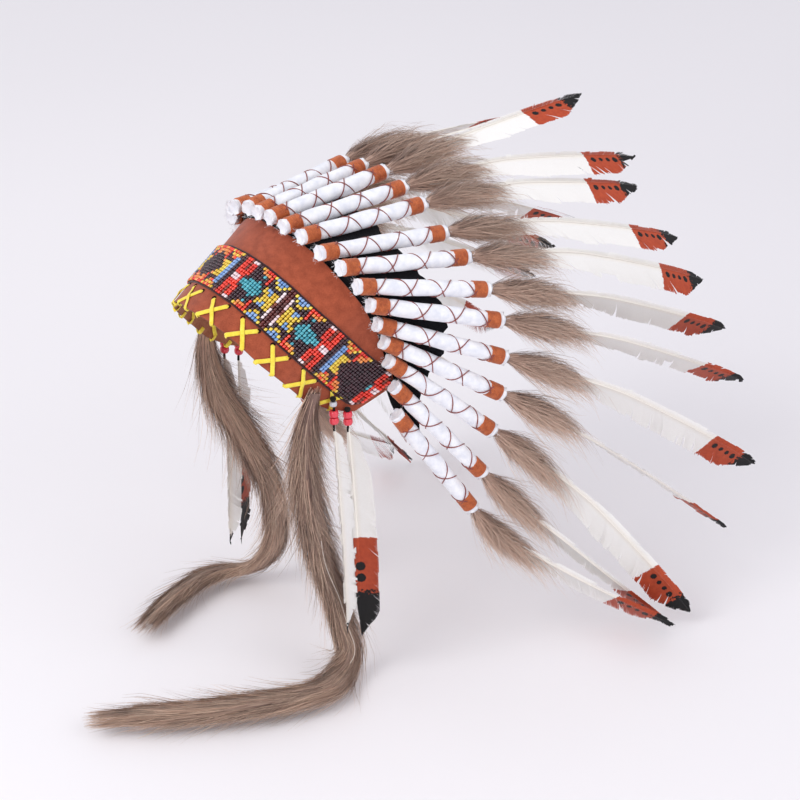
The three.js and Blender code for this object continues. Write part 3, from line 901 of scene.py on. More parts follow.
@dataclass
class Lacing:
    """Yellow lace crossed over the rim, through punched holes."""

    crown: Crown
    finishes: Finishes
    pitch: float = 33
    first: float = -147
    crosses: int = 10
    spread: float = 8.4
    hole_rise: float = 18
    lace_half_width: float = 1.85
    lace_flat: float = 0.26

    def strand(self, centre: float, lean: int, over: float) -> np.ndarray:
        """One diagonal of a cross, from its hole down over the rim to the inner face."""
        share = np.linspace(0, 1, 15)
        along = centre + lean * self.spread * (1 - 2 * share)
        rim = self.crown.level(along, 1)
        height = rim + self.hole_rise + (-0.4 - self.hole_rise) * share
        lift = 0.75 + over * np.exp(-(((share - 0.47) / 0.16) ** 2))
        lift[0] = -0.6
        outer = self.crown.point(along, height, -lift)
        edge = along[-1]
        base = self.crown.level(np.array(edge), 1)
        under = [(-1.3, 0.3), (-1.5, 1.3), (-1.1, 2.7), (0.6, 3.3), (4, 3.3)]
        turned = np.array([self.crown.point(np.array(edge), base + rise, depth) for rise, depth in under])
        return np.vstack([outer, turned])

    def build(self) -> bpy.types.Object:
        """Builds every cross, its holes and the runs inside the band."""
        cutter = Cutter()
        rng = np.random.default_rng(5)
        for k in range(self.crosses):
            centre = self.first + self.pitch * k + rng.uniform(-0.8, 0.8)
            for lean, over in ((1, 0.0), (-1, 1.1)):
                line = self.strand(centre, lean, over)
                smooth_line = catmull(line, 44)
                middle = self.crown.point(np.array(centre), self.crown.level(np.array(centre), 1) + 8, 30)
                face = unit(smooth_line - middle)
                cutter.tube(smooth_line, self.lace_half_width * MM, 8, 0, self.lace_flat, face)
                top = centre + lean * self.spread
                height = self.crown.level(np.array(top), 1) + self.hole_rise
                self.hole(cutter, top, height)
            if k < self.crosses - 1:
                self.inner_run(cutter, centre)
        f = self.finishes
        return dress(cutter, "yellow_lacing", [f.lace, f.hole], Slot.SUEDE)

    def hole(self, cutter: Cutter, along: float, height: float) -> None:
        """A punched hole as a shallow dimple with a pressed ring round it, all in near-black painted shade for
        the dark inside of the hole.
        """
        turn = np.arange(14) / 14 * 2 * math.pi
        rings = [(1.9, -0.42), (1.55, -0.5), (1.2, -0.3), (0.02, 0.1)]
        grid = np.stack(
            [self.crown.point(along + r * np.cos(turn), height + r * np.sin(turn), d) for r, d in rings]
        )
        # slot 1 paints the whole dimple, ring included, with the hole's painted shade
        cutter.grid(grid, 1, closed=True)

    def inner_run(self, cutter: Cutter, centre: float) -> None:
        """The lace behind the band, from one cross to the next."""
        share = np.linspace(0, 1, 12)
        along = centre + self.spread + (self.pitch - 2 * self.spread) * share
        height = self.crown.level(along, 1) + 4 + (self.hole_rise - 4) * share
        line = self.crown.point(along, height, self.crown.wall + 0.9)
        inward = self.crown.point(along, height, self.crown.wall + 30)
        cutter.tube(line, self.lace_half_width * MM, 8, 0, self.lace_flat, unit(line - inward))


class Bead(Enum):
    """Bead colours, by the letter that the chart uses: a pale and a deep shade."""

    MAROON = ("m", "6e2a26", "4b1a1b")
    BRICK = ("b", "93432f", "6f2d22")
    PLUM = ("d", "4a2731", "2c1722")
    WHITE = ("w", "ffeef0", "eccdd2")
    YELLOW = ("y", "fbe058", "e5b82e")
    BLUE = ("l", "9cbcec", "6a98d0")
    RED = ("r", "ff4a33", "de2a1c")
    ORANGE = ("o", "fba45c", "ea8234")
    TURQUOISE = ("t", "5fbecb", "3497a9")


@dataclass
class Beadwork:
    """The loom-woven strip: columns of beads on a maroon backing, coloured by a chart."""

    crown: Crown
    finishes: Finishes
    pitch: float = 2.757
    axis: float = 58.6
    rows: int = 14
    bead_radius: float = 1.26
    bead_length: float = 2.5
    sides: int = 8
    backing: float = 0.7
    # Half the strip's rows, from its edge to its middle; columns run out from the maroon stripe
    chart: tuple[str, ...] = (
        "myllllyrrroyddwwbrrbdyororyrrroydd" "dddd" "wwbrrbrr",
        "mdyllydroooddd" "rrbrrdd" "doyoydroooddd" "dddd" "rrbrrbrr",
        "mwdyyddrdtdddd" "rrbrrdd" "llroddroodddd" "dddd" "rrbrrbrr",
        "mwdddddrdddddd" "rrbrrdd" "llddddrdddddd" "dddd" "rrbrrbrr",
        "mwyyllyddtdddd" "rrrrrdd" "llyyyoddddddd" "dddd" "rrrrrrrr",
        "mwyylyydtttttd" "drrrrdd" "llyyyddddddddd" "dddd" "rrrrrrr",
        "mbyyyydttttttt" "trwwwdd" "llyyddddddddd" "dddd" "trwwwrrr",
    )

    def letter(self, column: int, row: int) -> str:
        """The chart's letter for a column counted from the stripe and a row counted from the edge."""
        line = self.chart[min(row, self.rows - 1 - row)]
        column = column if column >= 0 else self.mirrored(-column - 1)
        return line[min(column, len(line) - 1)]

    @staticmethod
    def mirrored(column: int) -> int:
        """The far side of the stripe, mirrored again at the middle of the large diamond."""
        turn = 61
        return column if column <= 30 else abs(turn - column)

    def bead(self) -> tuple[np.ndarray, np.ndarray]:
        """One bead about its own axis: points as (across, up, out) and quads."""
        half, radius = self.bead_length / 2, self.bead_radius
        section = [
            (0.42, -0.86), (0.78, -1.0), (1.0, -0.52), (1.0, 0.52), (0.78, 1.0), (0.42, 0.86),
        ]
        turn = np.arange(self.sides) / self.sides * 2 * math.pi
        points = np.array(
            [[(r * radius * math.cos(a), h * half, r * radius * math.sin(a)) for a in turn] for r, h in section]
        )
        rows, columns = points.shape[:2]
        i, j = np.meshgrid(np.arange(rows - 1), np.arange(columns), indexing="ij")
        k = (j + 1) % columns
        quads = np.stack([i * columns + j, (i + 1) * columns + j, (i + 1) * columns + k, i * columns + k], -1)
        return points.reshape(-1, 3), quads.reshape(-1, 4)

    def build(self) -> list[bpy.types.Object]:
        """Builds the backing and the beads."""
        rng = np.random.default_rng(11)
        shape, quads = self.bead()
        limit = self.crown.half_length - self.crown.strip_inset - self.pitch * 0.5
        first = math.ceil((-limit - self.axis) / self.pitch)
        columns = range(first, math.floor((limit - self.axis) / self.pitch) + 1)
        spots, letters = [], []
        for column in columns:
            along = self.axis + (column + 0.5) * self.pitch
            if abs(along) > limit:
                continue
            low, high = self.crown.strip_edges(np.array(along))
            base = self.crown.level(np.array(along), 2)
            for row in range(self.rows):
                height = base + 0.9 + (row + 0.5) * (self.crown.strip_width - 1.8) / self.rows
                if low + 1.0 < height < high - 1.0:
                    spots.append((along, height))
                    letters.append(self.letter(column, row))
        spots, letters = np.array(spots), np.array(letters)
        jitter = rng.normal(0, 0.09, (len(spots), 2))
        lift = 0.3 + self.backing + self.bead_radius * 0.88 + rng.normal(0, 0.06, len(spots))
        scale = 1 + rng.normal(0, 0.035, len(spots))
        lean = rng.normal(0, 0.09, len(spots))
        cutter = Cutter()
        slots = {bead.value[0]: i for i, bead in enumerate(Bead)}
        for letter, slot in slots.items():
            chosen = np.flatnonzero(letters == letter)
            if not len(chosen):
                continue
            cos, sin = np.cos(lean[chosen])[:, None], np.sin(lean[chosen])[:, None]
            across = shape[None, :, 0] * cos - shape[None, :, 1] * sin
            up = shape[None, :, 0] * sin + shape[None, :, 1] * cos
            size = scale[chosen][:, None]
            along = (spots[chosen, 0] + jitter[chosen, 0])[:, None] + across * size
            height = (spots[chosen, 1] + jitter[chosen, 1])[:, None] + up * size
            depth = -(lift[chosen][:, None] + shape[None, :, 2] * size)
            points = self.crown.point(along, height, depth)
            faces = (quads[None] + np.arange(len(chosen))[:, None, None] * len(shape)).reshape(-1, 4)
            own = np.repeat(rng.uniform(0, 1, len(chosen))[:, None], len(shape), 1)
            cutter.add(points.reshape(-1, 3), faces, slot, np.stack([own, own * 0], -1))
        glass = [
            GlassBeadFinish(f"bead_{bead.name.lower()}", bead.value[1], bead.value[2]).build() for bead in Bead
        ]
        beads = dress(cutter, "woven_beads", glass, Slot.BEADWORK, "beaded_strip")
        return [beads, self.build_backing()]

    def build_backing(self) -> bpy.types.Object:
        """The backing cloth with its corded edge."""
        cutter = Cutter()
        limit = self.crown.half_length - self.crown.strip_inset - 0.05
        along = limit * np.sin(np.linspace(-math.pi / 2, math.pi / 2, 420))
        low, high = self.crown.strip_edges(along)
        share = np.linspace(0, 1, 12)[None, :]
        height = low[:, None] + (high - low)[:, None] * share
        wide = np.broadcast_to(along[:, None], height.shape)
        cutter.grid(self.crown.point(wide, height, np.full(height.shape, -0.3 - self.backing)), flip=True)
        for edge in (low, high):
            line = self.crown.point(along, edge, -0.75)
            cutter.tube(line, 0.75 * MM, 6)
        return dress(cutter, "bead_backing", [self.finishes.backing], Slot.BEADWORK, "beaded_strip")


@dataclass
class FeltFlange:
    """The black sheet tucked behind the band, turned over the crest and laid behind the sleeves."""

    crown: Crown
    units: list[Unit]
    finishes: Finishes
    thickness: float = 1.7
    clearance: float = 0.9
    sleeve_radius: float = 6.8
    gap: float = 0.3
    reach: float = 62
    tuck: float = 12
    rise: float = 3
    # Share of the reach and tuck, unit by unit from either end
    ends: tuple[float, ...] = (0.42, 0.42, 0.5, 0.75, 0.9)
    columns: int = 240
    # The cut as it lay flat, in metres and square metres: its widest part, its outer edge and its area
    cut: tuple[float, float] = (0.098, 0.52)
    cut_area: float = 0.0312

    def lines(self) -> list[np.ndarray]:
        """Points along the sheet at each unit, from its tucked edge to its outer edge."""
        near = (self.sleeve_radius + self.gap) * MM
        depth = self.crown.wall + self.clearance
        last = len(self.units) - 1
        rows = []
        for i, u in enumerate(self.units):
            crest = self.crown.level(np.array(u.along), 3)
            place = min(i, last - i)
            share = self.ends[place] if place < len(self.ends) else 1.0
            start = self.crown.point(np.array(u.along), crest - self.tuck * share, depth)
            turned = self.crown.point(np.array(u.along), crest + self.rise, depth)
            seat = u.seat - u.out * near
            end = seat + u.heading * self.reach * share * MM
            rows.append(catmull(np.array([start, turned, seat, (seat * 2 + end) / 3, end]), 22))
        return rows

    def build(self) -> bpy.types.Object:
        """Builds the sheet with a ragged outer edge."""
        rows = np.array(self.lines())
        share = np.linspace(0, 1, self.columns)
        stops = np.linspace(0, 1, len(rows))
        grid = np.stack(
            [[np.interp(share, stops, rows[:, j, k]) for k in range(3)] for j in range(rows.shape[1])], 0
        ).transpose(2, 0, 1)
        rng = np.random.default_rng(21)
        ragged = np.interp(share, np.linspace(0, 1, 130), rng.normal(0, 1, 130)) * 1.3 * MM
        run = unit(grid[:, -1] - grid[:, -2])
        grid[:, -1] += run * ragged[:, None]
        normal = unit(np.cross(np.gradient(grid, axis=0), np.gradient(grid, axis=1)))
        wave = np.sin(share * 70)[:, None] * 0.5 + np.sin(share * 173 + 1)[:, None] * 0.25
        level = np.linspace(0, 1, grid.shape[1])[None] ** 2
        grid = grid + normal * (wave * level * MM)[..., None]
        towards = np.sign((normal[self.columns // 2, -1] * self.units[len(self.units) // 2].out).sum())
        back = grid - normal * towards * self.thickness * MM
        cutter = Cutter()
        cutter.grid(grid, flip=towards > 0)
        cutter.grid(back, flip=towards < 0)
        for line in (0, -1):
            cutter.grid(np.stack([grid[:, line], back[:, line]], 1), flip=(line == 0) == (towards < 0))
            cutter.grid(np.stack([grid[line], back[line]], 1), flip=(line == 0) == (towards > 0))
        sheet = dress(cutter, "felt_sheet", [self.finishes.felt], Slot.FELT, "felt_flange")
        return sheet


# The fan


@dataclass
class SleeveCover:
    """A cloth-covered roll with two floss bindings and two threads that cross along it."""

    unit_frame: Unit
    finishes: Finishes
    radius: float = 6.8
    binding_dip: float = 0.7
    binding_width: float = 12
    cloth_end: float = 4.5
    spacing: float = 99.4
    sides: int = 24
    wraps: int = 13
    turns: float = 3.0
    thread_radius: float = 0.5

    def swell(self, s: np.ndarray, turn: np.ndarray, rng: np.random.Generator) -> np.ndarray:
        """The cloth's radius in mm at a distance along the roll and a turn about it."""
        phases = rng.uniform(0, 2 * math.pi, 8)
        radius = np.full(np.broadcast(s, turn).shape, self.radius - 0.1)
        radius = radius + 0.3 * np.sin(2 * turn + s / 17 + phases[0]) * np.sin(s / 13 + phases[1])
        radius += 0.2 * np.sin(3 * turn - s / 7.5 + phases[2])
        radius += 0.08 * np.sin(5 * turn + s / 5.6 + phases[3])
        for centre in (0.0, self.spacing):
            off = np.abs(s - centre) - self.binding_width / 2
            pinch = np.exp(-np.maximum(off, 0) / 3.2)
            radius -= pinch * (self.binding_dip + 0.35)
            radius += pinch * 0.2 * np.sin(11 * turn + phases[4]) + pinch * 0.12 * np.sin(17 * turn + phases[5])
        return radius

    def course(self, s: np.ndarray, sign: int) -> np.ndarray:
        """The turn of a crossing thread at a distance along the roll."""
        first, last = self.binding_width / 2, self.spacing - self.binding_width / 2
        offset = 0.6 + 0.35 * (self.unit_frame.seed % 5)
        return sign * (s - first) / (last - first) * self.turns * 2 * math.pi + offset

    def build(self) -> bpy.types.Object:
        """Builds the roll, its bindings and threads."""
        u = self.unit_frame
        rng = np.random.default_rng(u.seed)
        near = self.binding_width / 2
        start, end = -near - self.cloth_end, self.spacing + near + self.cloth_end - 1
        s = np.concatenate([
            np.linspace(start, near + 6, 16), np.linspace(near + 8, self.spacing - near - 8, 34),
            np.linspace(self.spacing - near - 6, end, 16),
        ])
        turn = np.arange(self.sides) / self.sides * 2 * math.pi
        radius = self.swell(s[:, None], turn[None], rng)
        for sign in (1, -1):
            apart = np.mod(turn[None] - self.course(s[:, None], sign) + math.pi, 2 * math.pi) - math.pi
            between = (s > near) & (s < self.spacing - near)
            radius -= 0.42 * np.exp(-((apart * self.radius / 1.5) ** 2)) * between[:, None]
        frayed = np.exp(-(s - start) / 2.5)[:, None] * 0.5 * np.sin(7 * turn + 2)[None]
        radius += frayed + np.exp((s - end) / 2.5)[:, None] * 0.5 * np.sin(6 * turn)[None]
        s_grid = np.broadcast_to(s[:, None], radius.shape).copy()
        s_grid[0] += 0.7 * np.sin(5 * turn + 1)
        s_grid[-1] += 0.7 * np.sin(4 * turn)
        cutter = Cutter()
        rim = [(radius[0] * 0.93, start + 0.3), (radius[0] * 0.6, start + 1.0), (radius[0] * 0.02, start + 1.4)]
        rings = [np.stack([r, np.full_like(r, h)]) for r, h in rim[::-1]]
        rings += [np.stack([radius[i], s_grid[i]]) for i in range(len(s))]
        mouth = ((0.72, 1.5), (0.3, 3), (0.02, 3.2))
        rings += [np.stack([radius[-1] * k, np.full_like(turn, end - d)]) for k, d in mouth]
        rings = np.array(rings)
        cutter.grid(self.wrap(rings[:, 0], rings[:, 1], turn), 0, self.uv(rings, turn), closed=True, flip=True)
        for centre in (0.0, self.spacing):
            self.binding(cutter, centre, turn, rng)
        for sign in (1, -1):
            self.thread(cutter, sign, rng)
        self.fray(cutter, start, end, rng)
        f = self.finishes
        finishes = [f.cloth, f.floss, f.thread]
        return dress(cutter, f"sleeve_cover_{u.name}", finishes, Slot.CLOTH, f"sleeve_{u.name}")

    def uv(self, rings: np.ndarray, turn: np.ndarray) -> np.ndarray:
        """Surface coordinates: the turn, and the share of the length."""
        u = np.broadcast_to(turn / (2 * math.pi), rings[:, 0].shape)
        return np.stack([u, rings[:, 1] / 110], -1)

    def wrap(self, radius: np.ndarray, s: np.ndarray, turn: np.ndarray) -> np.ndarray:
        """Points from a radius in mm, a distance along and a turn."""
        local = np.stack([radius * np.cos(turn), s, radius * np.sin(turn)], -1) * MM
        return self.unit_frame.place(local)

    def binding(self, cutter: Cutter, centre: float, turn: np.ndarray, rng: np.random.Generator) -> None:
        """Floss wound round the cloth, each wrap a low ridge."""
        steps = self.wraps * 3 + 1
        share = np.linspace(0, 1, steps)
        s = centre + (share - 0.5) * self.binding_width
        ridge = np.abs(np.sin(share * self.wraps * math.pi)) ** 0.6
        uneven = np.interp(share, np.linspace(0, 1, self.wraps + 1), rng.normal(0, 0.08, self.wraps + 1))
        radius = self.radius - self.binding_dip + 0.25 + 0.6 * ridge + uneven
        radius[0] = radius[-1] = self.radius - self.binding_dip - 0.7
        lean = 0.35 * np.sin(turn[None] + rng.uniform(0, 6))
        points = self.wrap(np.broadcast_to(radius[:, None], (steps, len(turn))), s[:, None] + lean, turn[None])
        cutter.grid(points, 1, closed=True, flip=True)

    def thread(self, cutter: Cutter, sign: int, rng: np.random.Generator) -> None:
        """One of the threads that cross along the roll."""
        s = np.linspace(self.binding_width / 2 - 2, self.spacing - self.binding_width / 2 + 2, 84)
        turn = self.course(s, sign) + 0.1 * np.sin(s / 11 + rng.uniform(0, 6))
        radius = np.full_like(s, self.radius - (0.0 if sign > 0 else 0.25))
        line = self.wrap(radius, s, turn)
        cutter.tube(line, self.thread_radius * MM, 6, 2)

    def fray(self, cutter: Cutter, start: float, end: float, rng: np.random.Generator) -> None:
        """Loose cloth threads at the roll's two ends."""
        count = 46
        turn = rng.uniform(0, 2 * math.pi, count)
        first = rng.uniform(0, 1, count) < 0.6
        root = np.where(first, start, end)
        length = rng.uniform(0.8, 3.2, count) * np.where(first, -1, 1)
        t = np.linspace(0, 1, 4)[None]
        s = root[:, None] + length[:, None] * t
        radius = self.radius + rng.uniform(-0.6, 0.5, count)[:, None]
        radius = radius + t**2 * rng.uniform(-1, 1.6, count)[:, None]
        bend = turn[:, None] + t**2 * rng.uniform(-0.3, 0.3, count)[:, None]
        mid = self.wrap(radius, s, bend)
        wide = self.wrap(radius, s, bend + 0.025)
        cutter.ribbons(mid, wide, 0, np.stack([bend / 6.28, s / 110], -1))


@dataclass
class Plume:
    """A feather with its shaft near the leading edge: barbs in clumps, splits and a ragged painted tip."""

    unit_frame: Unit
    finishes: Finishes
    sleeve_end: float = 0.1099
    bore_depth: float = 0.025
    straight: float = 0.006
    knee: float = 0.3
    half_width: float = 0.0135
    leading_share: float = 0.2
    barb_gap: float = 0.00068
    widths: tuple[tuple[float, float], ...] = ((0, 0.25), (0.14, 0.55), (0.45, 1), (0.86, 1), (1, 0.9))

    def spine(self) -> Path:
        """The feather's line, as its solid has it, from inside the sleeve to the tip."""
        u = self.unit_frame
        basis = np.stack([u.across, u.heading, u.out])
        tip = basis @ u.feather_heading * u.reach + np.array([0, self.sleeve_end, 0])
        mouth = np.array([0, self.sleeve_end + self.straight, 0])
        knee = np.array([0, self.sleeve_end + u.reach * self.knee, 0])
        start = np.array([0, self.sleeve_end - self.bore_depth + 0.001, 0])
        t = np.linspace(0, 1, 60)[:, None]
        bend = mouth * (1 - t) ** 2 + 2 * knee * t * (1 - t) + tip * t**2
        local = np.vstack([start + (mouth - start) * np.linspace(0, 1, 8)[:-1, None], bend])
        points = u.place(local)
        heading = unit(np.gradient(points, axis=0))
        faces = turn_about(np.broadcast_to(u.out, points.shape), heading, u.roll)
        return Path(points, faces)

    def build(self) -> bpy.types.Object:
        """Builds the shaft and both sides of the vane."""
        u = self.unit_frame
        rng = np.random.default_rng(u.seed * 7)
        path = self.spine()
        mouth = self.bore_depth
        lead = 1.0 if path.sides[-1][2] >= 0 else -1.0
        cutter = Cutter()
        stops = np.linspace(0.002, path.length - 0.003, 46)
        shaft = path.place(stops, lead * self.offset(stops, path, mouth), np.full_like(stops, 0.0003))
        taper = np.interp(stops, [0, mouth, path.length], [0.0017, 0.0014, 0.0003])
        cutter.tube(shaft, taper, 7, uv=np.stack([np.full_like(stops, 0.5), path.length - stops], -1))
        for trailing in (True, False):
            self.barbs(cutter, path, mouth, lead, trailing, rng)
        return dress(cutter, f"feather_{u.name}", [self.finishes.vane], Slot.FEATHER, f"plume_{u.name}")

    def offset(self, stops: np.ndarray, path: Path, mouth: float) -> np.ndarray:
        """How far the shaft lies from the middle of the vane, towards the leading edge."""
        share = np.clip((stops - mouth) / (path.length - mouth), 0, 1)
        shift = self.half_width * (1 - 2 * self.leading_share)
        return shift * smooth(share, 0.05, 0.45) * (1 - 0.2 * smooth(share, 0.85, 1))

    def barbs(
        self, cutter: Cutter, path: Path, mouth: float, lead: float, trailing: bool, rng: np.random.Generator
    ) -> None:
        """One side of the vane as overlapping barbs.

        Args:
            cutter: where the mesh goes.
            path: the feather's line.
            mouth: where the vane starts along it.
            lead: the sign of the leading side.
            trailing: the broad side, or else the narrow one.
            rng: seeded random numbers.
        """
        start, length = mouth + 0.006, path.length
        count = int((length - start) / self.barb_gap)
        root = np.linspace(start, length - 0.0015, count) + rng.normal(0, self.barb_gap * 0.2, count)
        share = (root - start) / (length - start)
        table = np.array(self.widths)
        full = 2 * self.half_width * np.interp(share, table[:, 0], table[:, 1])
        left = length - root
        if trailing:
            reach = full * (1 - self.leading_share) * np.clip(left / 0.052, 0.02, 1) ** 0.9
            slant, sign = 1.15, -lead
        else:
            reach = full * self.leading_share * np.clip(left / 0.02, 0.1, 1) ** 0.7
            slant, sign = 1.9, lead
        clump = np.cumsum(rng.uniform(0, 1, count) < (0.07 if trailing else 0.05))
        kinds = clump.max() + 1
        slide = rng.normal(0, 0.0011, kinds)[clump]
        lift = rng.normal(0, 0.0007, kinds)[clump]
        cut = 1 - np.abs(rng.normal(0, 0.03, kinds))[clump]
        torn = rng.uniform(0, 1, kinds)[clump] < (0.05 if trailing else 0.02)
        short = np.where(torn, rng.uniform(0.55, 0.9, kinds)[clump], 1)
        reach = reach * cut * short * (1 + rng.normal(0, 0.02, count))
        t = np.linspace(0, 1, 5)[None]
        x = reach[:, None] * t
        s = root[:, None] + x * slant * (1 - 0.22 * t) + slide[:, None] * t**2
        half = self.barb_gap * 0.85 * (1 - 0.55 * t**4)
        half = np.broadcast_to(half, x.shape)
        camber = -0.0022 * (x / (2 * self.half_width)) ** 2 * (1 if trailing else 0.3)
        height = camber + lift[:, None] * t**2 + rng.normal(0, 0.00008, count)[:, None]
        offset = lead * self.offset(s, path, mouth)
        tilt = 0.00016
        edges = [
            path.place(s - half, offset + sign * x, height - tilt),
            path.place(s + half, offset + sign * x, height + tilt),
        ]
        across = np.where(trailing, -1, 1) * x
        uv = np.stack([0.5 + across, length - s], -1)
        cutter.ribbons(edges[0], edges[1], 0, uv)


@dataclass
class FurPuff:
    """The puff of fur round a plume's root: combed strands in locks, with stray hairs."""

    unit_frame: Unit
    path: Path
    finishes: Finishes
    mouth: float = 0.025
    length: float = 0.088
    radius: float = 0.0122
    strands: int = 1200
    locks: int = 26
    segments: int = 4

    def build(self) -> bpy.types.Object:
        """Builds the core and the strands."""
        u = self.unit_frame
        rng = np.random.default_rng(u.seed * 13)
        cutter = Cutter()
        stops = self.mouth + np.array([0, 0.08, 0.3, 0.5, 0.68]) * self.length
        core = self.path.place(stops, np.zeros(5), np.zeros(5))
        cutter.tube(core, np.array([0.3, 0.44, 0.46, 0.34, 0.08]) * self.radius, 10, 0)
        n = self.strands
        root = self.mouth - 0.0012 + self.length * 0.7 * rng.beta(0.85, 1.5, n)
        turn = rng.uniform(0, 2 * math.pi, n)
        lock = rng.integers(0, self.locks, n)
        lock_turn = rng.uniform(0, 2 * math.pi, self.locks)[lock]
        lock_reach = rng.uniform(0.75, 1.12, self.locks)[lock]
        stray = rng.uniform(0, 1, n) < 0.16
        reach = rng.uniform(0.026, 0.048, n) * np.where(stray, 1.35, 1)
        t = np.linspace(0, 1, self.segments + 1)[None]
        s = root[:, None] + reach[:, None] * t
        share = np.clip((s - self.mouth) / self.length, 0, 1.4)
        hull = np.interp(share, [0, 0.15, 0.4, 0.7, 1, 1.4], [0.5, 0.95, 1.2, 1.05, 0.62, 0.35]) * self.radius
        depth = rng.uniform(0.25, 1.0, n) ** 0.6
        spread = np.where(stray[:, None], 1.0 + 0.9 * t, lock_reach[:, None])
        away = depth[:, None] * (0.6 + 0.45 * t**0.7) * hull * spread
        drawn = np.where(stray, 0.1, 0.5)[:, None] * t**1.5
        near_turn = turn[:, None] + drawn * (np.mod(lock_turn - turn + math.pi, 2 * math.pi) - math.pi)[:, None]
        near_turn = near_turn + (rng.normal(0, 0.25, n)[:, None]) * t**2
        spot = self.path.place(s, away * np.cos(near_turn), away * np.sin(near_turn))
        droop = (share * t) ** 2 * rng.uniform(0.003, 0.014, n)[:, None]
        spot[..., 2] -= droop
        phase = rng.uniform(0, 2 * math.pi, (n, 3))[:, None]
        pace = rng.uniform(1.0, 1.9, (n, 1, 1)) * 2 * math.pi
        spot += np.sin(pace * t[..., None] + phase) * (t * 0.0012)[..., None]
        outward = unit(spot - self.path.place(s, np.zeros_like(s), np.zeros_like(s)))
        heading = unit(np.gradient(spot, axis=1))
        wide = unit(np.cross(heading, outward) + rng.normal(0, 0.35, (n, 1, 3)))
        half = (0.00021 * (1 - 0.85 * t**1.5) * rng.uniform(0.7, 1.3, n)[:, None])[..., None]
        upper = outward[:, 0] @ np.array([0.0, 0.25, 0.97])
        shade = 0.5 - 0.3 * upper + 0.18 * (share[:, -1] - 0.5) + rng.normal(0, 0.13, n)
        shade = np.broadcast_to(np.clip(shade, 0.02, 0.98)[:, None], s.shape)
        uv = np.stack([shade, np.broadcast_to(t, s.shape)], -1)
        cutter.ribbons(spot - wide * half, spot + wide * half, 0, uv)
        return dress(cutter, f"fur_puff_{u.name}", [self.finishes.puff], Slot.FUR, f"plume_{u.name}")


# Tails and drops


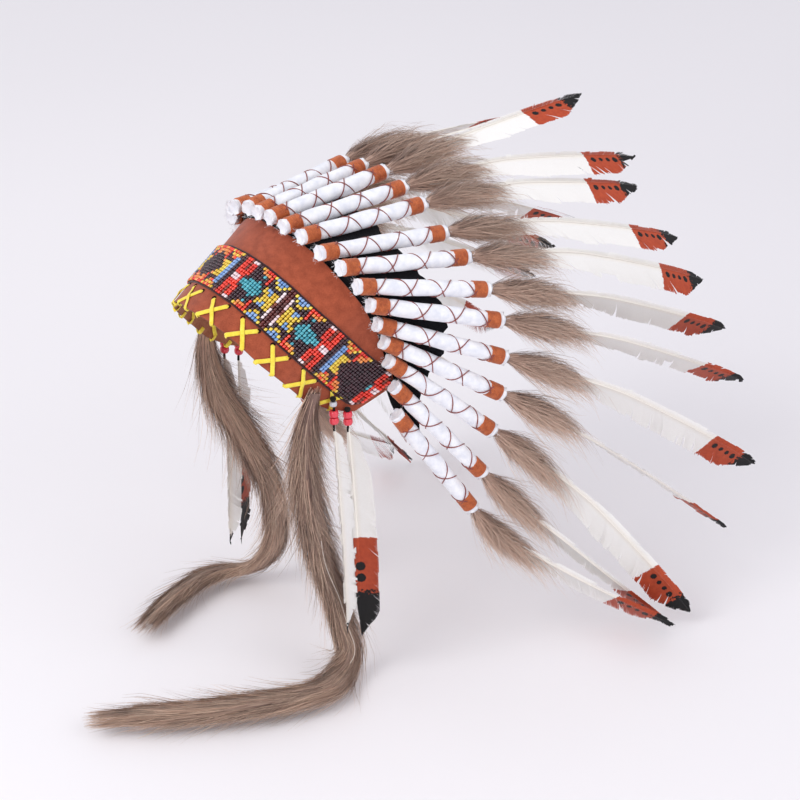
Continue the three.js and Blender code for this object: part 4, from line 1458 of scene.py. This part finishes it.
@dataclass
class FurTail:
    """A long fur tail that hangs from the band and turns to lie on the table."""

    crown: Crown
    finishes: Finishes
    side: Side
    rows: tuple[tuple[float, float, float, float], ...]
    strands: int
    half_width: float = 0.020
    half_thickness: float = 0.008
    top_share: float = 0.72
    top_drop: float = 9
    hang: float = 0.269
    gap: float = 0.3
    wisp: float = 0.032
    seam_radius: float = 0.00035
    seam_start: float = 0.14
    seam_end: float = 0.275
    # Least share of the full width that the strands keep, and how much they flare and where
    least: float = 0.62
    flare: float = 0.35
    flare_at: float = 0.11
    flare_spread: float = 0.055
    # Points that the turn of the face is averaged over, an odd number
    window: int = 29

    def path(self) -> tuple[Path, np.ndarray]:
        """The tail's line as its solid has it, and its size along the line."""
        side = self.side.value
        along = np.array(side * self.top_share * self.crown.half_length)
        depth = -(self.gap + self.half_thickness / MM * self.rows[0][3])
        top = self.crown.point(along, self.crown.level(along, 2) - self.top_drop, depth)
        table = np.array(self.rows)
        points = np.stack(
            [
                top[0] + side * table[:, 0] * self.hang,
                top[1] + table[:, 1] * self.hang,
                top[2] - table[:, 2] * self.hang,
            ],
            -1,
        )
        fine = catmull(points, 160)
        knots = [int(np.argmin(np.linalg.norm(fine - p, axis=1))) for p in points]
        size = np.interp(np.arange(len(fine)), knots, table[:, 3])
        heading = unit(np.gradient(fine, axis=0))
        lying = smooth(1 - np.abs(heading[:, 2]), 0.2, 0.95)
        padded = np.pad(lying, self.window // 2, mode="edge")
        lying = np.convolve(padded, np.full(self.window, 1 / self.window), "valid")[:, None]
        face = np.array([side, 0, 0]) * (1 - lying) + np.array([0, 0, 1]) * lying
        return Path(fine, face - heading * (face * heading).sum(-1, keepdims=True)), size

    def build(self) -> bpy.types.Object:
        """Builds the core and the strands."""
        path, size = self.path()
        rng = np.random.default_rng(90 + self.side.value)
        cutter = Cutter()
        stops = np.linspace(0.001, path.length * 0.97, 70)
        spot = path.place(stops, np.zeros(70), np.zeros(70))
        local = np.interp(stops, path.run, size)
        flat = self.half_thickness / self.half_width
        cutter.tube(spot, local * self.half_width * 0.62, 12, 0, flat * 1.1, unit(path.read(path.faces, stops)))
        self.seam(cutter, path, size)
        n = self.strands
        root = path.length * rng.uniform(0, 0.97, n) - 0.004
        turn = rng.uniform(0, 2 * math.pi, n)
        lock = np.floor(root / 0.021).astype(int) * 17 + np.floor(turn / 0.7).astype(int)
        table = rng.normal(0, 1, (lock.max() + 2, 3))
        stray = rng.uniform(0, 1, n) < 0.13
        reach = rng.uniform(0.03, 0.062, n)
        t = np.linspace(0, 1, 5)[None]
        s = root[:, None] + reach[:, None] * t
        over = np.maximum(s - path.length, 0)
        s = np.minimum(s, path.length) + self.wisp * (1 - np.exp(-over / self.wisp))
        hull = np.maximum(np.interp(s, path.run, size), self.least * smooth(s, 0, 0.02))
        hull = hull * (1 + self.flare * np.exp(-(((s - self.flare_at) / self.flare_spread) ** 2)) * t)
        hull = hull * (1 - 0.35 * over / (over + self.wisp))
        depth = rng.uniform(0.35, 1.0, n)[:, None] ** 0.5 * (0.62 + 0.42 * t)
        depth = depth * (1 + 0.1 * table[lock, 0][:, None] * t) * (1 + np.where(stray, 0.9, 0)[:, None] * t)
        swing = turn[:, None] + 0.22 * table[lock, 1][:, None] * t + rng.normal(0, 0.1, n)[:, None] * t**2
        across = np.cos(swing) * depth * hull * self.half_width
        out = np.sin(swing) * depth * np.maximum(hull, 0.3) * self.half_thickness
        spot = path.place(s, across, out)
        spot[..., 2] = np.maximum(spot[..., 2], FLOOR + 0.0004)
        outward = unit(spot - path.place(s, np.zeros_like(s), np.zeros_like(s)))
        heading = unit(np.gradient(spot, axis=1))
        wide = unit(np.cross(heading, outward) + rng.normal(0, 0.4, (n, 1, 3)))
        half = (0.00024 * (1 - 0.85 * t**1.5) * rng.uniform(0.7, 1.3, n)[:, None])[..., None]
        shade = 0.45 + 0.1 * table[lock, 2] + rng.normal(0, 0.28, n)
        shade = np.broadcast_to(np.clip(shade, 0.02, 0.98)[:, None], s.shape)
        uv = np.stack([shade, np.broadcast_to(t, s.shape)], -1)
        cutter.ribbons(spot - wide * half, spot + wide * half, 0, uv)
        name = self.side.name.lower()
        finishes = [self.finishes.tail, self.finishes.seam]
        return dress(cutter, f"long_fur_tail_{name}", finishes, Slot.FUR, f"fur_tail_{name}")

    def seam(self, cutter: Cutter, path: Path, size: np.ndarray) -> None:
        """The pale line of stitching down the middle of the outer face."""
        stops = np.linspace(self.seam_start, self.seam_end, 90)
        wide = np.interp(stops, path.run, size)
        across = 0.0011 * np.sin(stops * 46)
        out = np.maximum(wide, 0.3) * self.half_thickness * 1.02
        cutter.tube(path.place(stops, across, out), self.seam_radius, 5, 1)


@dataclass
class Drop:
    """A string of pony beads on a thong, with a small feather below."""

    crown: Crown
    finishes: Finishes
    side: Side
    place: Place
    along_share: float
    thong: float
    roll: float
    half_width: float
    painted: bool
    bead_radius: float = 4.0
    bead_length: float = 6.2
    thong_radius: float = 1.1
    knot: float = 2.0
    reach: float = 0.198
    lean: float = 3.0

    def seat(self) -> tuple[np.ndarray, np.ndarray]:
        """The knot's place and the string's direction."""
        side = self.side.value
        along = np.array(side * self.along_share * self.crown.half_length)
        height = self.crown.level(along, 2) - self.bead_radius
        knot = self.crown.point(along, height, -0.3 - self.bead_radius)
        angle = -side * math.radians(self.lean)
        down = np.array([-math.sin(angle), 0, -math.cos(angle)])
        return knot, down

    def lathe(self, cutter: Cutter, knot: np.ndarray, down: np.ndarray, profile: list, slot: int) -> None:
        """Turns a profile of (radius, distance down) pairs in mm about the string."""
        side = unit(np.cross(down, [0.0, 1.0, 0.0]))
        front = np.cross(down, side)
        turn = np.arange(20) / 20 * 2 * math.pi
        ring = side[None] * np.cos(turn)[:, None] + front[None] * np.sin(turn)[:, None]
        rows = [knot + down * d * MM + ring * r * MM for r, d in profile]
        cutter.grid(np.array(rows), slot, np.full((len(rows), 20, 2), 0.5), closed=True)

    def build(self) -> list[bpy.types.Object]:
        """Builds the string and its feather."""
        knot, down = self.seat()
        f = self.finishes
        strings = Cutter()
        foot = self.thong + 2 * self.bead_length
        line = knot + down * np.linspace(-1.5, foot + 6, 16)[:, None] * MM
        line += np.sin(np.linspace(0, 5, 16))[:, None] * np.array([0.2, 0.3, 0]) * MM
        strings.tube(line, self.thong_radius * MM, 8, 0)
        bump = [(0.4, -1.6), (1.9, -1.5), (2.6, -0.6), (2.5, 0.8), (1.8, 1.9), (0.5, 2.0)]
        self.lathe(strings, knot, down, bump, 0)
        for index in range(2):
            top = self.thong + index * self.bead_length
            self.lathe(strings, knot, down, self.pony(top), 1)
        if self.place is Place.FRONT:
            self.lathe(strings, knot, down, [(r * 0.8, d * 0.7 + 2.4) for r, d in self.pony(0)], 2)
        label = f"{self.side.name.lower()}_{self.place.value}"
        string = dress(
            strings, f"pony_bead_string_{label}", [f.thong, f.red_bead, f.pale_bead], Slot.RED_BEAD,
            f"drop_beads_{label}",
        )
        return [string, self.feather(knot, down, foot, label)]

    def pony(self, top: float) -> list[tuple[float, float]]:
        """A pony bead's profile with its real hole."""
        r, n = self.bead_radius, self.bead_length
        return [
            (1.3, top + n * 0.12), (2.4, top + n * 0.02), (r * 0.86, top + n * 0.1), (r * 0.98, top + n * 0.3),
            (r, top + n * 0.5), (r * 0.98, top + n * 0.7), (r * 0.86, top + n * 0.9), (2.4, top + n * 0.98),
            (1.3, top + n * 0.88), (1.2, top + n * 0.5), (1.3, top + n * 0.12),
        ]

    def feather(self, knot: np.ndarray, down: np.ndarray, foot: float, label: str) -> bpy.types.Object:
        """The small feather: a shaft and two rows of barbs."""
        side = self.side.value
        turned = math.radians(side * self.roll) + math.pi / 2
        across = np.array([math.cos(turned), math.sin(turned), 0])
        across = unit(across - down * np.dot(across, down))
        start = knot + down * (foot + 0.3) * MM
        s = np.linspace(0, self.reach, 40)
        sway = np.sin(s / self.reach * 2.2) * 0.004
        points = start + down * s[:, None] + across * sway[:, None]
        face = np.cross(across, down)
        path = Path(points, np.broadcast_to(face, points.shape).copy())
        cutter = Cutter()
        stops = np.linspace(-0.004, self.reach - 0.002, 30)
        taper = np.interp(stops, [0, self.reach], [0.0011, 0.0003])
        coordinates = np.stack([np.full(30, 0.5), self.reach - stops], -1)
        cutter.tube(path.place(stops, np.zeros(30), np.full(30, 0.0003)), taper, 6, uv=coordinates)
        rng = np.random.default_rng(self.seed())
        for sign, share in ((1, 0.8), (-1, 0.2)):
            self.barbs(cutter, path, sign, share, rng)
        vane = self.finishes.drop_vane if self.painted else self.finishes.plain_vane
        return dress(cutter, f"small_feather_{label}", [vane], Slot.FEATHER, f"drop_feather_{label}")

    def seed(self) -> int:
        """A seed of its own for each drop."""
        return 300 + self.side.value * 10 + len(self.place.value)

    def barbs(self, cutter: Cutter, path: Path, sign: int, share: float, rng: np.random.Generator) -> None:
        """One side of the small vane."""
        spacing = 0.0006
        count = int((self.reach - 0.006) / spacing)
        root = np.linspace(0.006, self.reach - 0.001, count) + rng.normal(0, spacing * 0.2, count)
        along = root / self.reach
        full = 2 * self.half_width * MM * np.interp(along, [0, 0.14, 0.4, 0.86, 1], [0.35, 0.9, 1, 0.95, 0.6])
        reach = full * share * np.clip((self.reach - root) / 0.042, 0.05, 1) ** 0.8
        clump = np.cumsum(rng.uniform(0, 1, count) < 0.08)
        kinds = clump.max() + 1
        lift = rng.normal(0, 0.0008, kinds)[clump]
        slide = rng.normal(0, 0.001, kinds)[clump]
        reach = reach * (1 - np.abs(rng.normal(0, 0.06, kinds)))[clump]
        t = np.linspace(0, 1, 4)[None]
        x = reach[:, None] * t
        s = root[:, None] + x * 1.3 * (1 - 0.2 * t) + slide[:, None] * t**2
        half = np.broadcast_to(spacing * 1.15 * (1 - 0.5 * t**4), x.shape)
        height = -0.0015 * (x / 0.012) ** 2 + lift[:, None] * t**2
        left = path.place(s - half, sign * x, height - 0.00014)
        right = path.place(s + half, sign * x, height + 0.00014)
        cutter.ribbons(left, right, 0, np.stack([0.5 + sign * x, self.reach - s], -1))


# Camera, floor and light


@dataclass(frozen=True)
class Studio:
    """The camera, the pale floor and the soft lights."""

    azimuth: float = 53.5
    elevation: float = 27.0
    eye: tuple[float, float, float] = (1.3006, -0.8147, 0.7416)
    lens: float = 93.12

    def camera(self) -> None:
        """Sets the camera at the photograph's angle."""
        az, el = math.radians(self.azimuth), math.radians(self.elevation)
        right = (math.cos(az), math.sin(az), 0)
        up = (-math.sin(az) * math.sin(el), math.cos(az) * math.sin(el), math.cos(el))
        back = (math.sin(az) * math.cos(el), -math.cos(az) * math.cos(el), math.sin(el))
        data = bpy.data.cameras.new("studio_camera")
        data.lens, data.sensor_width = self.lens, 36
        data.clip_start, data.clip_end = 0.05, 60
        camera = bpy.data.objects.new("studio_camera", data)
        bpy.context.scene.collection.objects.link(camera)
        basis = Matrix((right, up, back)).transposed().to_4x4()
        basis.translation = self.eye
        camera.matrix_world = basis
        bpy.context.scene.camera = camera

    def floor(self) -> None:
        """A pale table that runs far back."""
        cutter = Cutter()
        line = np.linspace(-9, 9, 13)
        x, y = np.meshgrid(line, line, indexing="ij")
        cutter.grid(np.stack([x, y, np.full_like(x, FLOOR)], -1))
        s = Shader("pale_table")
        cloud = s.noise(0.6, 2)
        s.colour(s.ramp(cloud, [(0.3, linear("f3f0f3")), (0.7, linear("f9f6f8"))]))
        s.set(Roughness=0.7, Specular_IOR_Level=0.2)
        table = cutter.build("studio_floor", [s.material])

    def lights(self) -> None:
        """Two large soft lights and a bright surround."""
        world = bpy.data.worlds.new("studio_surround")
        world.use_nodes = True
        world.node_tree.nodes["Background"].inputs[0].default_value = linear("f4f4fa")
        world.node_tree.nodes["Background"].inputs[1].default_value = 0.82
        bpy.context.scene.world = world
        for name, spot, size, power in (
            ("key_softbox", (0.3, -2.2, 2.1), 1.7, 37.0),
            ("side_softbox", (2.4, 0.9, 1.6), 1.6, 13.0),
        ):
            data = bpy.data.lights.new(name, "AREA")
            data.shape, data.size, data.energy = "SQUARE", size, power
            light = bpy.data.objects.new(name, data)
            bpy.context.scene.collection.objects.link(light)
            back = unit(np.array(spot) - np.array([0.0, 0.1, 0.0]))
            right = unit(np.cross([0, 0, 1.0], back))
            basis = Matrix((right, np.cross(back, right), back)).transposed().to_4x4()
            basis.translation = spot
            light.matrix_world = basis
        bpy.context.scene.view_settings.view_transform = "Standard"


# Each tail's course as (out, back, drop, size), the first three as shares of the height that it hangs.
LEFT_TAIL = (
    (0, 0, 0, 0.5), (-0.005, -0.025, 0.1, 0.75), (-0.01, -0.03, 0.25, 1), (-0.015, -0.02, 0.36, 1),
    (-0.02, 0, 0.46, 0.95), (-0.025, 0.03, 0.6, 0.85), (-0.025, 0.075, 0.74, 0.85), (-0.02, 0.1, 0.86, 0.85),
    (0.01, 0.11, 0.95, 0.85), (0.04, 0.055, 1, 0.9), (0.08, -0.04, 1, 0.95), (0.06, -0.16, 1, 1),
    (-0.005, -0.32, 1, 0.95), (-0.08, -0.47, 1, 0.9), (-0.14, -0.57, 1, 0.8), (-0.185, -0.655, 1, 0.45),
)
RIGHT_TAIL = (
    (0, 0, 0, 0.5), (-0.005, -0.01, 0.1, 0.75), (-0.025, 0.02, 0.25, 1), (-0.065, 0.065, 0.36, 1),
    (-0.075, 0.11, 0.46, 0.95), (-0.075, 0.165, 0.6, 0.85),
    (-0.065, 0.195, 0.74, 0.85), (-0.04, 0.2, 0.86, 0.85),
    (0.01, 0.185, 0.95, 0.8), (0.07, 0.15, 1, 0.8), (0.105, 0.085, 1, 0.8), (0.11, 0.01, 1, 0.8),
    (0.09, -0.065, 1, 0.75), (0.055, -0.145, 1, 0.75), (0.015, -0.22, 1, 0.7), (-0.015, -0.27, 1, 0.4),
)


def main() -> None:
    """Builds the scene in order."""
    logging.basicConfig(level=logging.INFO, format="%(message)s")
    studio = Studio()
    studio.camera()
    studio.floor()
    studio.lights()
    finishes = Finishes()
    crown = Crown()
    units = Fan(crown).units()
    SuedePanel(crown, finishes).build()
    Beadwork(crown, finishes).build()
    Lacing(crown, finishes).build()
    FeltFlange(crown, units, finishes).build()
    for item in units:
        SleeveCover(item, finishes).build()
        plume = Plume(item, finishes)
        plume.build()
        FurPuff(item, plume.spine(), finishes).build()
    FurTail(crown, finishes, Side.LEFT, LEFT_TAIL, 9200).build()
    FurTail(crown, finishes, Side.RIGHT, RIGHT_TAIL, 7200).build()
    for side in Side:
        Drop(
            crown, finishes, side, Place.FRONT, along_share=0.83,
            thong=10, roll=5, half_width=7.5, painted=False,
        ).build()
        Drop(
            crown, finishes, side, Place.REAR, along_share=0.94,
            thong=1.5, roll=-35, half_width=10.5, painted=True,
        ).build()


if __name__ == "__main__":
    main()
